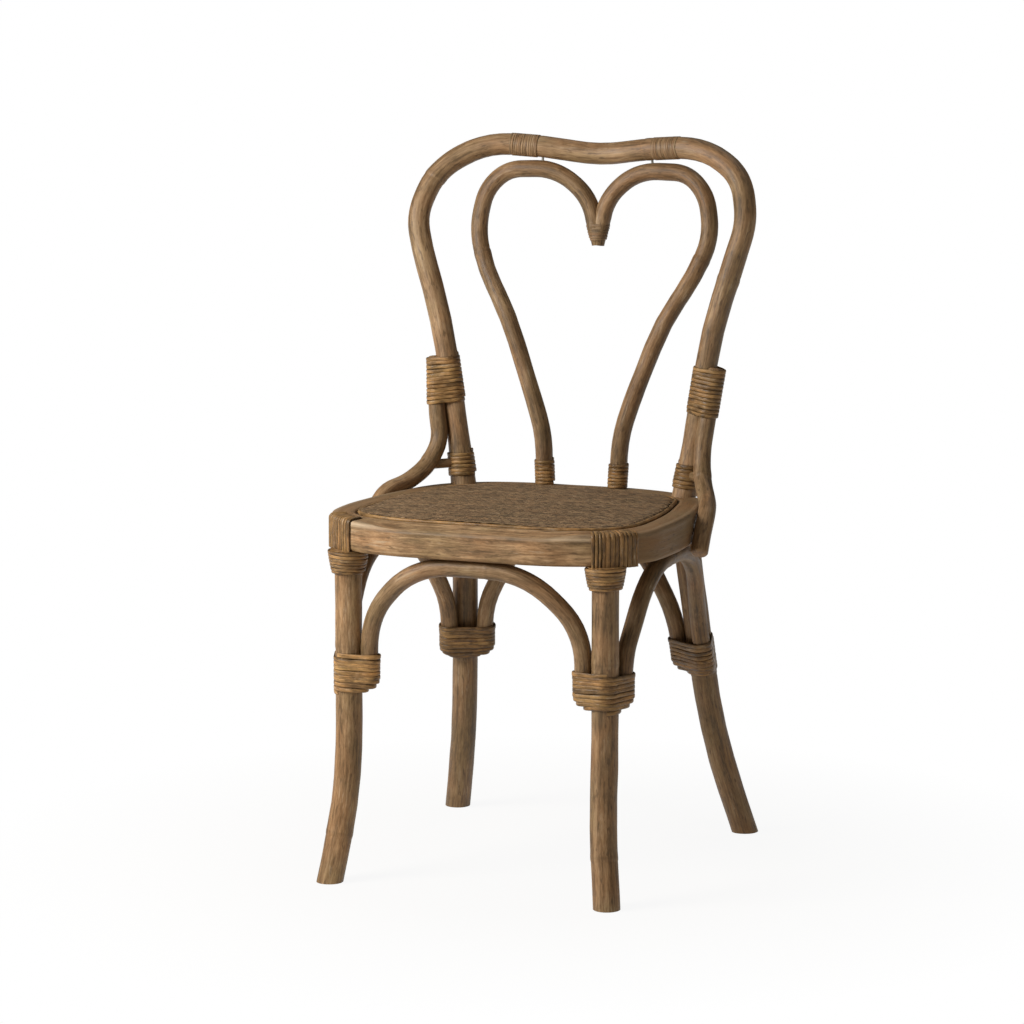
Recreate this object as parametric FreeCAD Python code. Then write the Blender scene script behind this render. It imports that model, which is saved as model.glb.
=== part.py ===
# Cane pole side chair with a heart in its back and a woven cane seat.
# Millimetres. +Z is up, the sitter faces -Y, and X = 0 is the plane of symmetry.
# Left and right are as seen by someone who stands in front of the chair.
# The origin is on the floor, below the middle of the whole chair's box.

import FreeCAD
import Part
import math
import os

from FreeCAD import Vector

# Poles
leg_radius = 16.5
hoop_radius = 14.0
hoop_foot_radius = 17.0
arch_radius = 11.0
heart_radius = 11.0
brace_radius = 11.0
peg_radius = 6.0

# Fits
fit = 0.3
strap_fit = 0.15
overrun = 30.0
tiny = 0.001

# Seat rim: a flat bent band, seen from above as a rounded shield
seat_height = 450.0
rim_height = 40.0
rim_band = 31.0
rim_half_width = 219.0
rim_front = 231.0
rim_back = 171.0
rim_top_round = 6.0
rim_bottom_round = 7.0
rim_inner_round = 3.0
# Corners of the rim's outline: share of the half width, then of the front or the back reach
rim_front_shares = [(0.502, 1.0), (0.968, 0.831), (1.0, 0.173)]
rim_back_shares = [(0.84, 0.7135), (0.4475, 1.0)]
# How much of its shorter side each of these corners rounds away
rim_round_shares = [0.38, 0.60, 0.48, 0.48, 0.48]
rail_joint_angle = math.radians(-38.0)

# Seat frame, the cane that is woven on it, and the bead round the cane
frame_width = 28.0
frame_thickness = 18.0
frame_sink = 4.0
bead_radius = 1.5
bead_inset = 4.3
panel_inset = 7.2
panel_crown = 7.0
panel_edge = 4.2

# Front legs, set in from the rim's outline. The bends lie at shares of the height under the rim.
front_leg_inset = 51.0
front_leg_setback = 35.5
front_straight_share = 0.4024
front_knee_share = 0.2317
front_knee_spread = 1.5
front_knee_set = 9.5
front_foot_spread = 14.0
front_foot_set = 29.0

# Rear legs, which start under the feet of the back hoop
rear_bend_share = 0.8537
rear_bend_spread = 3.5
rear_bend_set = 13.0
rear_straight_share = 0.4512
rear_straight_spread = 16.5
rear_straight_set = 43.0
rear_knee_share = 0.2439
rear_knee_spread = 28.5
rear_knee_set = 65.0
rear_foot_spread = 51.0
rear_foot_set = 97.5

# Back hoop, whose feet are set in from the rim's outline
hoop_foot_inset = 67.5
hoop_foot_setback = 44.0
hoop_beyond_rim = 5.5
hoop_lean = 95.0
hoop_rise = 435.0
# Shares of the half width, the lean and the rise, from the foot up to the middle
hoop_shares = [
    (0.717, 0.050, 0.150),
    (0.8214, 0.065, 0.483),
    (0.946, 0.095, 0.6875),
    (1.000, 0.190, 0.791),
    (0.930, 0.497, 0.920),
    (0.667, 0.735, 1.000),
    (0.329, 0.865, 0.993),
]
hoop_middle_shares = (0.0, 1.0, 0.966)

# Heart: two lobes that meet in a bound point
heart_foot_x = 49.5
heart_inset = 63.5
heart_lean = 58.0
heart_under_hoop = 31.8
heart_shares = [
    (0.329, 0.035, 0.165),
    (0.416, 0.050, 0.274),
    (0.655, 0.216, 0.530),
    (0.886, 0.445, 0.6765),
    (1.000, 0.685, 0.799),
    (0.939, 0.808, 0.930),
    (0.767, 0.907, 0.996),
    (0.340, 0.959, 1.000),
    (0.034, 0.990, 0.905),
    (0.034, 1.000, 0.759),
]
point_gap = 0.15
point_tip_radius = 8.0
point_root_radius = 16.7
point_taper = 30.0

# Side braces, pared to lie against the hoop and nailed to the outside of the rim
brace_top = 170.0
brace_top_share = 0.551
brace_top_bearing = math.radians(-8.2)
brace_straight = 94.0
brace_straight_share = 1.0
brace_straight_bearing = math.radians(-43.1)
brace_end_radius = 4.0
# Places along the brace: share of the reach outward and forward, then of the rise over the seat
brace_reach = 160.0
brace_rise = 100.0
brace_free_shares = [
    (-0.033, 0.002, 0.589),
    (0.016, 0.124, 0.263),
]
# Beside the rim: share of the reach forward, of the gap to the outline, and of the rise
brace_beside_shares = [
    (0.322, 0.68, 0.055),
    (0.552, 1.15, 0.000),
    (0.734, 1.06, -0.240),
    (0.860, 1.03, -0.477),
]

# Arches under the seat. Each shoulder lies over the foot of its leg's binding.
arch_end_rise = 12.0
front_shoulder_rise = 97.0
front_arch_flat = 72.0
front_arch_bow = 18.0
rear_shoulder_rise = 74.0
rear_arch_flat = 72.0
side_front_rise = 63.0
side_rear_rise = 77.0
side_arch_flat_front = 98.0
side_arch_flat_back = 52.0
side_arch_inset = 29.5
side_bearing_front = math.radians(57.0)
side_bearing_rear = math.radians(-65.0)
arch_end_taper = 5.0

# Windings: round cane, wound side by side
cane_radius = 1.9
cane_pitch = 5.0
fine_cane_radius = 1.3
fine_cane_pitch = 3.7
front_binding_share = 0.568
rear_binding_share = 0.534
# How far out each turn reaches from the leg alone toward the full bundle
leg_binding_shares = [0.3, 0.78, 1.0, 1.0, 1.0, 1.0, 1.0, 1.0, 1.03]
brace_binding_rise = 107.0
brace_binding_turns = 12
foot_binding_rise = 12.0
foot_binding_turns = 6
heart_binding_rise = 4.0
heart_binding_turns = 6
hoop_binding_from_middle = 80.0
hoop_binding_turns = 10
point_binding_drop = 11.0
point_binding_turns = 5
winding_clear = 0.3
quarter = math.pi / 2

# Collars on the tops of the front legs
collar_height = 28.0
collar_top_radius = 25.5
collar_skin = 0.6
collar_turns = 7

# Straps laid over the front corners of the rim
strap_count = 12
strap_thickness = 2.2
strap_start = math.radians(-65.5)
strap_step = math.radians(2.85)
strap_share = 0.9
strap_tail = 18.0

# Dowels, screws and pins
leg_dowel_radius = 6.0
leg_dowel_down = 35.0
leg_dowel_up = 26.0
hoop_dowel_up = 38.0
heart_dowel_radius = 4.0
heart_dowel_down = 26.0
heart_dowel_up = 26.0
rail_dowel_radius = 3.0
rail_dowel_half = 15.0
rail_dowel_offset = 8.0
screw_radius = 2.0
screw_head_radius = 3.8
screw_head_height = 2.4
arch_screw_length = 40.0
arch_screw_spread = 32.0
frame_screw_length = 40.0
brace_screw_length = 32.0
brace_screw_sink = 22.0
pin_radius = 1.6
pin_length = 24.0
pin_drop = 19.0
pin_share = 0.9
end_pin_rise = 22.0
end_pin_step = 10.0
heart_pin_from_middle = 75.0

# Worked out from the sizes above
far_out = 2 * rim_half_width
front_leg_x = rim_half_width - front_leg_inset
front_leg_y = rim_front - front_leg_setback
hoop_foot_x = rim_half_width - hoop_foot_inset
hoop_foot_y = rim_back - hoop_foot_setback
hoop_half_width = rim_half_width + hoop_beyond_rim
heart_half_width = hoop_half_width - heart_inset
side_arch_x = rim_half_width - side_arch_inset
rim_low = seat_height - rim_height
arch_top = rim_low - arch_radius - fit
frame_top = seat_height - frame_sink
frame_low = frame_top - frame_thickness
leg_gap = leg_radius + arch_radius + fit
brace_gap = hoop_radius + brace_radius + fit
heart_rise = hoop_rise - heart_under_hoop
front_binding_height = front_binding_share * rim_low
rear_binding_height = rear_binding_share * rim_low
up = Vector(0, 0, 1)
side = Vector(1, 0, 0)
origin = Vector(0, 0, 0)

nodes = {}


# Paths and poles

def path_edges(points, run_share=0.48, reaches=None):
    """Straight runs between the points, joined by arcs tangent to both."""
    edges = []
    start = points[0]
    for index in range(1, len(points) - 1):
        corner = points[index]
        back = points[index - 1] - corner
        ahead = points[index + 1] - corner
        reach = run_share * min(back.Length, ahead.Length)
        if reaches and reaches[index] is not None:
            reach = min(reach, reaches[index])
        back.normalize()
        ahead.normalize()
        middle_way = back + ahead
        if middle_way.Length < tiny:
            continue
        half = back.getAngle(ahead) / 2
        middle_way.normalize()
        first = corner + back * reach
        last = corner + ahead * reach
        middle = corner + middle_way * (reach / math.cos(half) - reach * math.tan(half))
        if (first - start).Length > tiny:
            edges.append(Part.LineSegment(start, first).toShape())
        edges.append(Part.Arc(first, middle, last).toShape())
        start = last
    edges.append(Part.LineSegment(start, points[-1]).toShape())
    return edges


def tube(edges, radius):
    """A solid round bar along the edges."""
    first = edges[0]
    ring = Part.makeCircle(radius, first.valueAt(first.FirstParameter), first.tangentAt(first.FirstParameter))
    shape = Part.Wire(edges).makePipeShell([Part.Wire(ring)], True, False)
    return Part.Solid(Part.Shell(shape.Faces))


def pole(points, radius):
    return tube(path_edges(points), radius)


def mirrored(shape):
    return shape.mirror(origin, side)


def mirrored_point(point):
    return Vector(-point.x, point.y, point.z)


def keep(name, shape):
    nodes[name] = shape


def keep_pair(name, shape):
    """The modelled side is the one at +X."""
    keep(name + "_right", shape)
    keep(name + "_left", mirrored(shape))


def group(solids):
    return Part.makeCompound(solids)


def pairs(solids):
    """Each solid and its mirror image, as one group."""
    return group(solids + [mirrored(solid) for solid in solids])


def cylinder(radius, length, base, direction):
    return Part.makeCylinder(radius, length, base, direction)


def screw(base, direction, length):
    """A screw whose head starts at the base and which points along the direction."""
    way = Vector(direction)
    way.normalize()
    shank = cylinder(screw_radius, length, base, way)
    head = cylinder(screw_head_radius, screw_head_height, base, way)
    return head.fuse(shank).removeSplitter()


def bore(name, tool):
    """Cuts a fastener's hole in the node that it passes through."""
    nodes[name] = nodes[name].cut(tool)


# Seat rim

def rim_vertices():
    """The rim's outline as a polygon, counterclockwise from the front's right corner."""
    right = [Vector(rim_half_width * across, -rim_front * along, 0) for across, along in rim_front_shares]
    right += [Vector(rim_half_width * across, rim_back * along, 0) for across, along in rim_back_shares]
    return right + [mirrored_point(point) for point in reversed(right)]


def rim_corners():
    """For each corner of the outline: the arc's centre and radius, and its first, middle and last angle."""
    points = rim_vertices()
    shares = rim_round_shares + rim_round_shares[::-1]
    corners = []
    for index, corner in enumerate(points):
        back = points[index - 1] - corner
        ahead = points[(index + 1) % len(points)] - corner
        reach = shares[index] * min(back.Length, ahead.Length)
        first = math.atan2(-back.y, -back.x) - quarter
        last = math.atan2(ahead.y, ahead.x) - quarter
        if last < first:
            last += 2 * math.pi
        half = (last - first) / 2
        radius = reach / math.tan(half)
        out = radius / math.cos(half)
        middle = first + half
        centre = corner - Vector(math.cos(middle), math.sin(middle), 0) * out
        corners.append((centre, radius, first, middle, last))
    return corners


def polar(centre, radius, angle, height):
    return Vector(centre.x + radius * math.cos(angle), centre.y + radius * math.sin(angle), height)


def rim_loop(inset, height):
    """The outline, moved in by the inset."""
    edges = []
    joints = []
    for centre, radius, first, middle, last in rim_corners():
        inner = radius - inset
        ends = [polar(centre, inner, angle, height) for angle in (first, middle, last)]
        edges.append(Part.Arc(*ends).toShape())
        joints.append((ends[0], ends[2]))
    loop = []
    for index, edge in enumerate(edges):
        loop.append(edge)
        start = joints[index][1]
        end = joints[(index + 1) % len(joints)][0]
        loop.append(Part.LineSegment(start, end).toShape())
    return loop


def rim_prism(inset, low, high):
    face = Part.Face(Part.Wire(rim_loop(inset, low)))
    return face.extrude(Vector(0, 0, high - low))


def flat_edges(shape, height):
    """The edges that lie at one height."""
    found = []
    for edge in shape.Edges:
        box = edge.BoundBox
        if abs(box.ZMin - height) < tiny and abs(box.ZMax - height) < tiny:
            found.append(edge)
    return found


def near_loop(edges, loop):
    wire = Part.Wire(loop)
    found = []
    for edge in edges:
        middle = edge.valueAt((edge.FirstParameter + edge.LastParameter) / 2)
        if Part.Vertex(middle).distToShape(wire)[0] < tiny:
            found.append(edge)
    return found


def rim_ring():
    outer = rim_prism(0, rim_low, seat_height)
    outer = outer.makeFillet(rim_top_round, flat_edges(outer, seat_height))
    outer = outer.makeFillet(rim_bottom_round, flat_edges(outer, rim_low))
    ring = outer.cut(rim_prism(rim_band, rim_low - overrun, seat_height + overrun))
    inner = near_loop(flat_edges(ring, seat_height), rim_loop(rim_band, seat_height))
    return ring.makeFillet(rim_inner_round, inner)


def front_corner():
    """Centre and radius of the outline's arc at the right front corner."""
    centre, radius, first, middle, last = rim_corners()[1]
    return centre, radius


def rail_wedge():
    """The space that holds the front rail: all in front of the two corner joints."""
    centre, radius = front_corner()
    low = rim_low - overrun
    heart = Vector(centre.x, centre.y, low)
    out = polar(centre, far_out, rail_joint_angle, low)
    front = Vector(out.x, -far_out, low)
    right = [heart, out, front]
    left = [mirrored_point(point) for point in reversed(right)]
    outline = Part.makePolygon(right + left + [heart])
    return Part.Face(outline).extrude(Vector(0, 0, rim_height + 2 * overrun))


def build_rim():
    ring = rim_ring()
    wedge = rail_wedge()
    keep("seat_rim", ring.cut(wedge))
    keep("seat_front_rail", ring.common(wedge))


# Woven seat

def corner_sector(inner, outer, low, high, first, sweep):
    """Part of a ring round the right front corner's axis."""
    centre, radius = front_corner()
    corners = [(inner, low), (outer, low), (outer, high), (inner, high), (inner, low)]
    outline = Part.makePolygon([polar(centre, reach, first, height) for reach, height in corners])
    return Part.Face(outline).revolve(centre, up, math.degrees(sweep))


def strap_notch():
    """Room beside the rim for the inner ends of the straps."""
    centre, radius = front_corner()
    outer = radius - rim_band + fit
    inner = radius - rim_band - strap_fit - strap_thickness - fit
    low = seat_height - strap_tail - fit
    first = strap_start - strap_step
    sweep = (strap_count + 2) * strap_step
    return corner_sector(inner, outer, low, seat_height + overrun, first, sweep)


def build_seat():
    inset = rim_band + fit
    frame = rim_prism(inset, frame_low, frame_top)
    frame = frame.cut(rim_prism(inset + frame_width, frame_low - overrun, frame_top + overrun))
    notch = strap_notch()
    keep("seat_frame", frame.cut(notch).cut(mirrored(notch)))
    loop = rim_loop(rim_band + bead_inset, frame_top + bead_radius + fit)
    straight_first = loop[1:] + loop[:1]
    keep("seat_bead", tube(straight_first, bead_radius))
    keep("seat_panel", woven_panel())


def woven_panel():
    """The cane sheet: upright at its edge and crowned in the middle."""
    low = frame_top + fit
    edge_height = low + panel_edge
    slab = rim_prism(rim_band + panel_inset, low, edge_height + panel_crown)
    half = rim_half_width - rim_band - panel_inset
    ball_radius = (half ** 2 + panel_crown ** 2) / (2 * panel_crown)
    middle = (rim_back - rim_front) / 2
    ball = Part.makeSphere(ball_radius, Vector(0, middle, edge_height + panel_crown - ball_radius))
    return slab.common(ball)


# Legs

def to_floor(points):
    """The last run, carried on below the floor, where the leg is then cut level."""
    way = points[-1] - points[-2]
    way.normalize()
    return points[:-1] + [points[-1] + way * overrun]


def cut_at_floor(shape):
    corner = Vector(-far_out, -far_out, -far_out)
    floor = Part.makeBox(2 * far_out, 2 * far_out, far_out, corner)
    return shape.cut(floor)


def front_leg_points():
    x = front_leg_x
    y = -front_leg_y
    return [
        Vector(x, y, rim_low),
        Vector(x, y, rim_low * front_straight_share),
        Vector(x + front_knee_spread, y - front_knee_set, rim_low * front_knee_share),
        Vector(x + front_foot_spread, y - front_foot_set, 0),
    ]


def rear_leg_points():
    x = hoop_foot_x
    y = hoop_foot_y
    return [
        Vector(x, y, rim_low),
        Vector(x + rear_bend_spread, y + rear_bend_set, rim_low * rear_bend_share),
        Vector(x + rear_straight_spread, y + rear_straight_set, rim_low * rear_straight_share),
        Vector(x + rear_knee_spread, y + rear_knee_set, rim_low * rear_knee_share),
        Vector(x + rear_foot_spread, y + rear_foot_set, 0),
    ]


def level_top(points, radius):
    """Carries the first run up past the rim's underside, for a level cut there."""
    way = points[0] - points[1]
    way.normalize()
    return [points[0] + way * radius] + points[1:]


def build_legs():
    keep_pair("front_leg", cut_at_floor(pole(to_floor(front_leg_points()), leg_radius)))
    rear = cut_at_floor(pole(to_floor(level_top(rear_leg_points(), leg_radius)), leg_radius))
    lid = Part.makeBox(2 * far_out, 2 * far_out, far_out, Vector(-far_out, -far_out, rim_low))
    keep_pair("rear_leg", rear.cut(lid))


# Back

def hoop_foot():
    return Vector(hoop_foot_x, hoop_foot_y, seat_height)


def hoop_place(shares):
    across, lean, rise = shares
    return Vector(hoop_half_width * across, hoop_foot_y + hoop_lean * lean, seat_height + hoop_rise * rise)


def hoop_points():
    right = [hoop_foot()] + [hoop_place(shares) for shares in hoop_shares]
    return right + [hoop_place(hoop_middle_shares)] + [mirrored_point(point) for point in reversed(right)]


def sunk_foot(points, radius):
    """Carries the first run down past the seat's top, for a level cut there."""
    way = points[0] - points[1]
    way.normalize()
    return [points[0] + way * radius] + points[1:]


def above_seat(shape):
    block = Part.makeBox(2 * far_out, 2 * far_out, far_out, Vector(-far_out, -far_out, seat_height - far_out))
    return shape.cut(block)


def hoop_flare():
    """The thicker foot of the hoop."""
    foot, knee = hoop_points()[:2]
    way = knee - foot
    start = foot - way * (hoop_foot_radius / way.Length)
    length = (knee - start).Length
    return Part.makeCone(hoop_foot_radius, hoop_radius - tiny, length, start, way)


def build_hoop():
    points = hoop_points()
    reversed_points = list(reversed(sunk_foot(points, hoop_foot_radius)))
    hoop = pole(sunk_foot(reversed_points, hoop_foot_radius), hoop_radius)
    flare = hoop_flare()
    hoop = hoop.fuse(flare).fuse(mirrored(flare))
    keep("back_hoop", above_seat(hoop).removeSplitter())


def heart_foot():
    return Vector(heart_foot_x, rim_back - rim_band / 2, seat_height)


def heart_points():
    foot = heart_foot()
    points = [foot]
    for across, lean, rise in heart_shares:
        place = Vector(heart_half_width * across, foot.y + heart_lean * lean, seat_height + heart_rise * rise)
        points.append(place)
    return points


def point_tip():
    tip = heart_points()[-1]
    return Vector(0, tip.y, tip.z)


def point_waste():
    """What is pared away round the heart's point."""
    tip = point_tip()
    taper = Part.makeCone(point_tip_radius, point_root_radius, point_taper, tip, up)
    below = tip - up * heart_radius
    return cylinder(point_root_radius + heart_radius, point_taper + heart_radius, below, up).cut(taper)


def build_heart():
    lobe = above_seat(pole(sunk_foot(heart_points(), heart_radius), heart_radius))
    other_half = Part.makeBox(far_out, 2 * far_out, 2 * far_out + seat_height,
                              Vector(point_gap - far_out, -far_out, 0))
    lobe = lobe.cut(other_half)
    keep_pair("heart_lobe", lobe.cut(point_waste()))


# Braces

def hoop_axis():
    """A point low on the hoop's bound straight run, and that run's direction."""
    low, high = hoop_points()[1:3]
    way = high - low
    way.normalize()
    return low, way


def hoop_at(height):
    """The centre of the hoop's straight run at a height over the seat."""
    low, way = hoop_axis()
    return low + way * ((seat_height + height - low.z) / way.z)


def brace_offset(height):
    """From the hoop's centre to the brace's, square to the bound run, at a height over the seat."""
    way = hoop_axis()[1]
    ends = []
    for share, bearing in ((brace_straight_share, brace_straight_bearing), (brace_top_share, brace_top_bearing)):
        flat = Vector(math.cos(bearing), math.sin(bearing), 0)
        across = flat - way * flat.dot(way)
        across.normalize()
        ends.append(across * (brace_gap * share))
    return ends[0] + (ends[1] - ends[0]) * ((height - brace_straight) / (brace_top - brace_straight))


def rim_edge_x(y):
    """Where the rim's outline crosses a line of constant y, on its right side."""
    wire = Part.Wire(rim_loop(0, seat_height))
    line = Part.LineSegment(Vector(0, y, seat_height), Vector(far_out, y, seat_height)).toShape()
    return wire.distToShape(line)[1][0][0].x


def brace_points():
    top = hoop_at(brace_top) + brace_offset(brace_top)
    low = hoop_at(brace_straight) + brace_offset(brace_straight)
    points = [top, low]
    for out, forward, rise in brace_free_shares:
        points.append(Vector(low.x + brace_reach * out, low.y - brace_reach * forward,
                             seat_height + brace_rise * rise))
    for forward, out, rise in brace_beside_shares:
        y = low.y - brace_reach * forward
        points.append(Vector(rim_edge_x(y) + (brace_radius + fit) * out, y, seat_height + brace_rise * rise))
    return points


def rounded_end(shape, centre, radius, round_radius):
    """Rounds the edge of a pole's flat end."""
    edges = []
    for edge in shape.Edges:
        middle = edge.CenterOfMass
        if (middle - centre).Length < fit and edge.Length > math.pi * radius:
            edges.append(edge)
    return shape.makeFillet(round_radius, edges)


def build_braces():
    points = brace_points()
    brace = pole(points, brace_radius)
    brace = rounded_end(brace, points[0], brace_radius, brace_end_radius)
    brace = rounded_end(brace, points[-1], brace_radius, brace_end_radius)
    keep_pair("side_brace", brace.cut(tube(path_edges(hoop_points()), hoop_radius + fit)))


def peg_ends():
    """From the foot binding's outside to the brace, level."""
    height = foot_binding_rise + cane_pitch * foot_binding_turns / 2
    edges = path_edges(hoop_points())
    start = point_at_height(edges, seat_height + height)
    edges = path_edges(brace_points())
    end = point_at_height(edges, seat_height + height)
    way = end - start
    way.normalize()
    binding = hoop_foot_radius + 2 * (winding_clear + cane_radius)
    return start + way * binding, end


def point_at_height(edges, height):
    """The first place at a height along a path."""
    for edge in edges:
        places = edge.discretize(25)
        for first, last in zip(places, places[1:]):
            if min(first.z, last.z) <= height <= max(first.z, last.z) and first.z != last.z:
                share = (height - first.z) / (last.z - first.z)
                return first + (last - first) * share
    raise ValueError("the path doesn't reach this height")


def build_pegs():
    start, end = peg_ends()
    way = end - start
    peg = cylinder(peg_radius, way.Length, start, way)
    hollow = tube(path_edges(brace_points()), brace_radius + fit)
    keep_pair("brace_peg", peg.cut(hollow))


# Arches

def leg_axis(points, first, last):
    """A point and the direction of one straight run of a leg, pointing up."""
    way = points[first] - points[last]
    way.normalize()
    return points[last], way


def front_leg_axis():
    return leg_axis(front_leg_points(), 0, 1)


def rear_leg_axis():
    return leg_axis(rear_leg_points(), 1, 2)


def on_axis(axis, height):
    base, way = axis
    return base + way * ((height - base.z) / way.z)


def beside_leg(axis, bearing):
    """From a leg's centre to that of an arch that lies along it, on a bearing seen from above."""
    base, way = axis
    flat = Vector(math.cos(bearing), math.sin(bearing), 0)
    across = flat - way * flat.dot(way)
    across.normalize()
    return across * leg_gap


def arch_end(axis, bearing, foot, rise):
    """The arch's end beside the leg, and its shoulder, over the foot of the leg's binding."""
    offset = beside_leg(axis, bearing)
    return on_axis(axis, foot + arch_end_rise) + offset, on_axis(axis, foot + rise) + offset


def front_arch_points():
    end, shoulder = arch_end(front_leg_axis(), math.pi, front_binding_height, front_shoulder_rise)
    right = [end, shoulder, Vector(front_arch_flat, end.y - front_arch_bow, arch_top)]
    return right + [mirrored_point(point) for point in reversed(right)]


def rear_arch_points():
    end, shoulder = arch_end(rear_leg_axis(), math.pi, rear_binding_height, rear_shoulder_rise)
    right = [end, shoulder, Vector(rear_arch_flat, rim_back - rim_band / 2, arch_top)]
    return right + [mirrored_point(point) for point in reversed(right)]


def side_arch_points():
    front_end, front_shoulder = arch_end(front_leg_axis(), side_bearing_front, front_binding_height,
                                         side_front_rise)
    rear_end, rear_shoulder = arch_end(rear_leg_axis(), side_bearing_rear, rear_binding_height,
                                       side_rear_rise)
    return [
        front_end,
        front_shoulder,
        Vector(side_arch_x, -side_arch_flat_front, arch_top),
        Vector(side_arch_x, side_arch_flat_back, arch_top),
        rear_shoulder,
        rear_end,
    ]


def arch(points):
    shape = pole(points, arch_radius)
    shape = rounded_end(shape, points[0], arch_radius, arch_end_taper)
    return rounded_end(shape, points[-1], arch_radius, arch_end_taper)


def build_arches():
    keep("front_arch", arch(front_arch_points()))
    keep("rear_arch", arch(rear_arch_points()))
    keep_pair("side_arch", arch(side_arch_points()))


# Windings

def support(circle, angle):
    x, y, radius = circle
    return x * math.cos(angle) + y * math.sin(angle) + radius


def leader(circles, angle):
    """The circle that reaches furthest out in a direction."""
    return max(circles, key=lambda circle: support(circle, angle))


def hull_arcs(circles, start):
    """The outline of a string pulled tight round the circles, as arcs, once round from a start angle."""
    samples = 360
    step = 2 * math.pi / samples
    arcs = []
    first = start
    for index in range(samples):
        low = start + index * step
        high = low + step
        circle = leader(circles, low)
        if circle == leader(circles, high):
            continue
        for halving in range(40):
            middle = (low + high) / 2
            if leader(circles, middle) == circle:
                low = middle
            else:
                high = middle
        arcs.append((circle, first, low))
        first = low
    end = start + 2 * math.pi
    arcs.append((leader(circles, (first + end) / 2), first, end))
    return arcs


def loop_corners(circles, start):
    """Corners of the polygon round the circles, each with how far its arc reaches along the sides."""
    corners = []
    for (x, y, radius), first, last in hull_arcs(circles, start):
        pieces = max(1, math.ceil((last - first) / quarter - tiny))
        turn = (last - first) / pieces
        out = radius / math.cos(turn / 2)
        for index in range(pieces):
            angle = first + (index + 0.5) * turn
            corner = Vector(x + out * math.cos(angle), y + out * math.sin(angle), 0)
            corners.append((corner, radius * math.tan(turn / 2)))
    return corners


def winding_points(turns, pitch, cane):
    """Points and arc reaches of a winding. Each turn gives the circles that it goes round."""
    points = []
    reaches = []
    counts = []
    start = math.atan2(-sum(circle[1] for circle in turns[-1]), -sum(circle[0] for circle in turns[-1]))
    for index, circles in enumerate(turns):
        grown = [(x, y, radius + winding_clear + cane) for x, y, radius in circles]
        corners = loop_corners(grown, start)
        counts.append(len(corners))
        places = [corner for corner, reach in corners]
        lengths = [(places[k] - places[k - 1]).Length for k in range(len(places))]
        total = sum(lengths)
        gone = 0
        for k, (corner, reach) in enumerate(corners):
            gone += lengths[k] if k else 0
            points.append(Vector(corner.x, corner.y, pitch * (index + gone / total)))
            reaches.append(reach)
    before = points[counts[0] - 1] - up * pitch - points[0]
    after = points[-counts[-1]] + up * pitch - points[-1]
    return with_tails(points, reaches, before, after, cane)


def with_tails(points, reaches, before, after, cane):
    """Adds the two straight ends, one cane's width long, in the given directions."""
    before.normalize()
    after.normalize()
    start = points[0] + before * (reaches[0] + 2 * cane)
    end = points[-1] + after * (reaches[-1] + 2 * cane)
    return [start] + points + [end], [None] + reaches + [None]


def least_gap(edges, loop_length, cane):
    """The smallest clear distance between neighbouring turns, measured on points."""
    places = []
    for edge in edges:
        places += edge.discretize(max(3, int(edge.Length / cane) + 1))[:-1]
    step = sum(edge.Length for edge in edges) / len(places)
    first = int(0.6 * loop_length / step)
    last = int(1.5 * loop_length / step)
    least = far_out
    for index, place in enumerate(places):
        for other in places[index + first:index + last]:
            least = min(least, place.distanceToPoint(other))
    return least - 2 * cane


def winding(name, turns, pitch, cane, seat):
    """One unbroken length of cane. The seat turns a local point into its place on the chair."""
    points, reaches = winding_points(turns, pitch, cane)
    edges = path_edges([seat(point) for point in points], 0.48, reaches)
    loop_length = sum(edge.Length for edge in edges) / len(turns)
    print(name, "turns", len(turns), "least gap", round(least_gap(edges, loop_length, cane), 2))
    return tube(edges, cane)


def straight_seat(base, axis, toward):
    """Local axes on a straight pole: Z along it and X toward a neighbour."""
    z_way = Vector(axis)
    z_way.normalize()
    x_way = toward - z_way * toward.dot(z_way)
    x_way.normalize()
    y_way = z_way.cross(x_way)
    return lambda point: base + x_way * point.x + y_way * point.y + z_way * point.z


def bent_seat(edges, start, toward):
    """Local axes that follow a bent pole, from a distance along it."""
    def place(point):
        left = start + point.z
        for edge in edges:
            if left <= edge.Length or edge is edges[-1]:
                break
            left -= edge.Length
        parameter = edge.getParameterByLength(left)
        z_way = edge.tangentAt(parameter)
        x_way = toward - z_way * toward.dot(z_way)
        x_way.normalize()
        y_way = z_way.cross(x_way)
        return edge.valueAt(parameter) + x_way * point.x + y_way * point.y
    return place


def local_circle(offset, x_way, y_way, radius):
    return (offset.dot(x_way), offset.dot(y_way), radius)


def leg_bundle(axis, bearings):
    """The leg and its two arch ends, in the leg's local axes, and the two local directions."""
    base, way = axis
    offsets = [beside_leg(axis, bearing) for bearing in bearings]
    x_way = Vector(offsets[0])
    x_way.normalize()
    y_way = way.cross(x_way)
    circles = [(0, 0, leg_radius)]
    circles += [local_circle(offset, x_way, y_way, arch_radius) for offset in offsets]
    return circles, x_way


def leg_winding(name, axis, bearings, height):
    """Drawn in round the leg at its foot, then full round leg and arch ends."""
    circles, x_way = leg_bundle(axis, bearings)
    turns = []
    for share in leg_binding_shares:
        ends = [(x * share, y * share, radius) for x, y, radius in circles[1:] if share]
        turns.append(circles[:1] + ends)
    base = on_axis(axis, height)
    return winding(name, turns, cane_pitch, cane_radius, straight_seat(base, axis[1], x_way))


def build_leg_bindings():
    front = leg_winding("front_leg_binding", front_leg_axis(), [math.pi, side_bearing_front],
                        front_binding_height)
    keep_pair("front_leg_binding", front)
    rear = leg_winding("rear_leg_binding", rear_leg_axis(), [math.pi, side_bearing_rear],
                       rear_binding_height)
    keep_pair("rear_leg_binding", rear)


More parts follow.
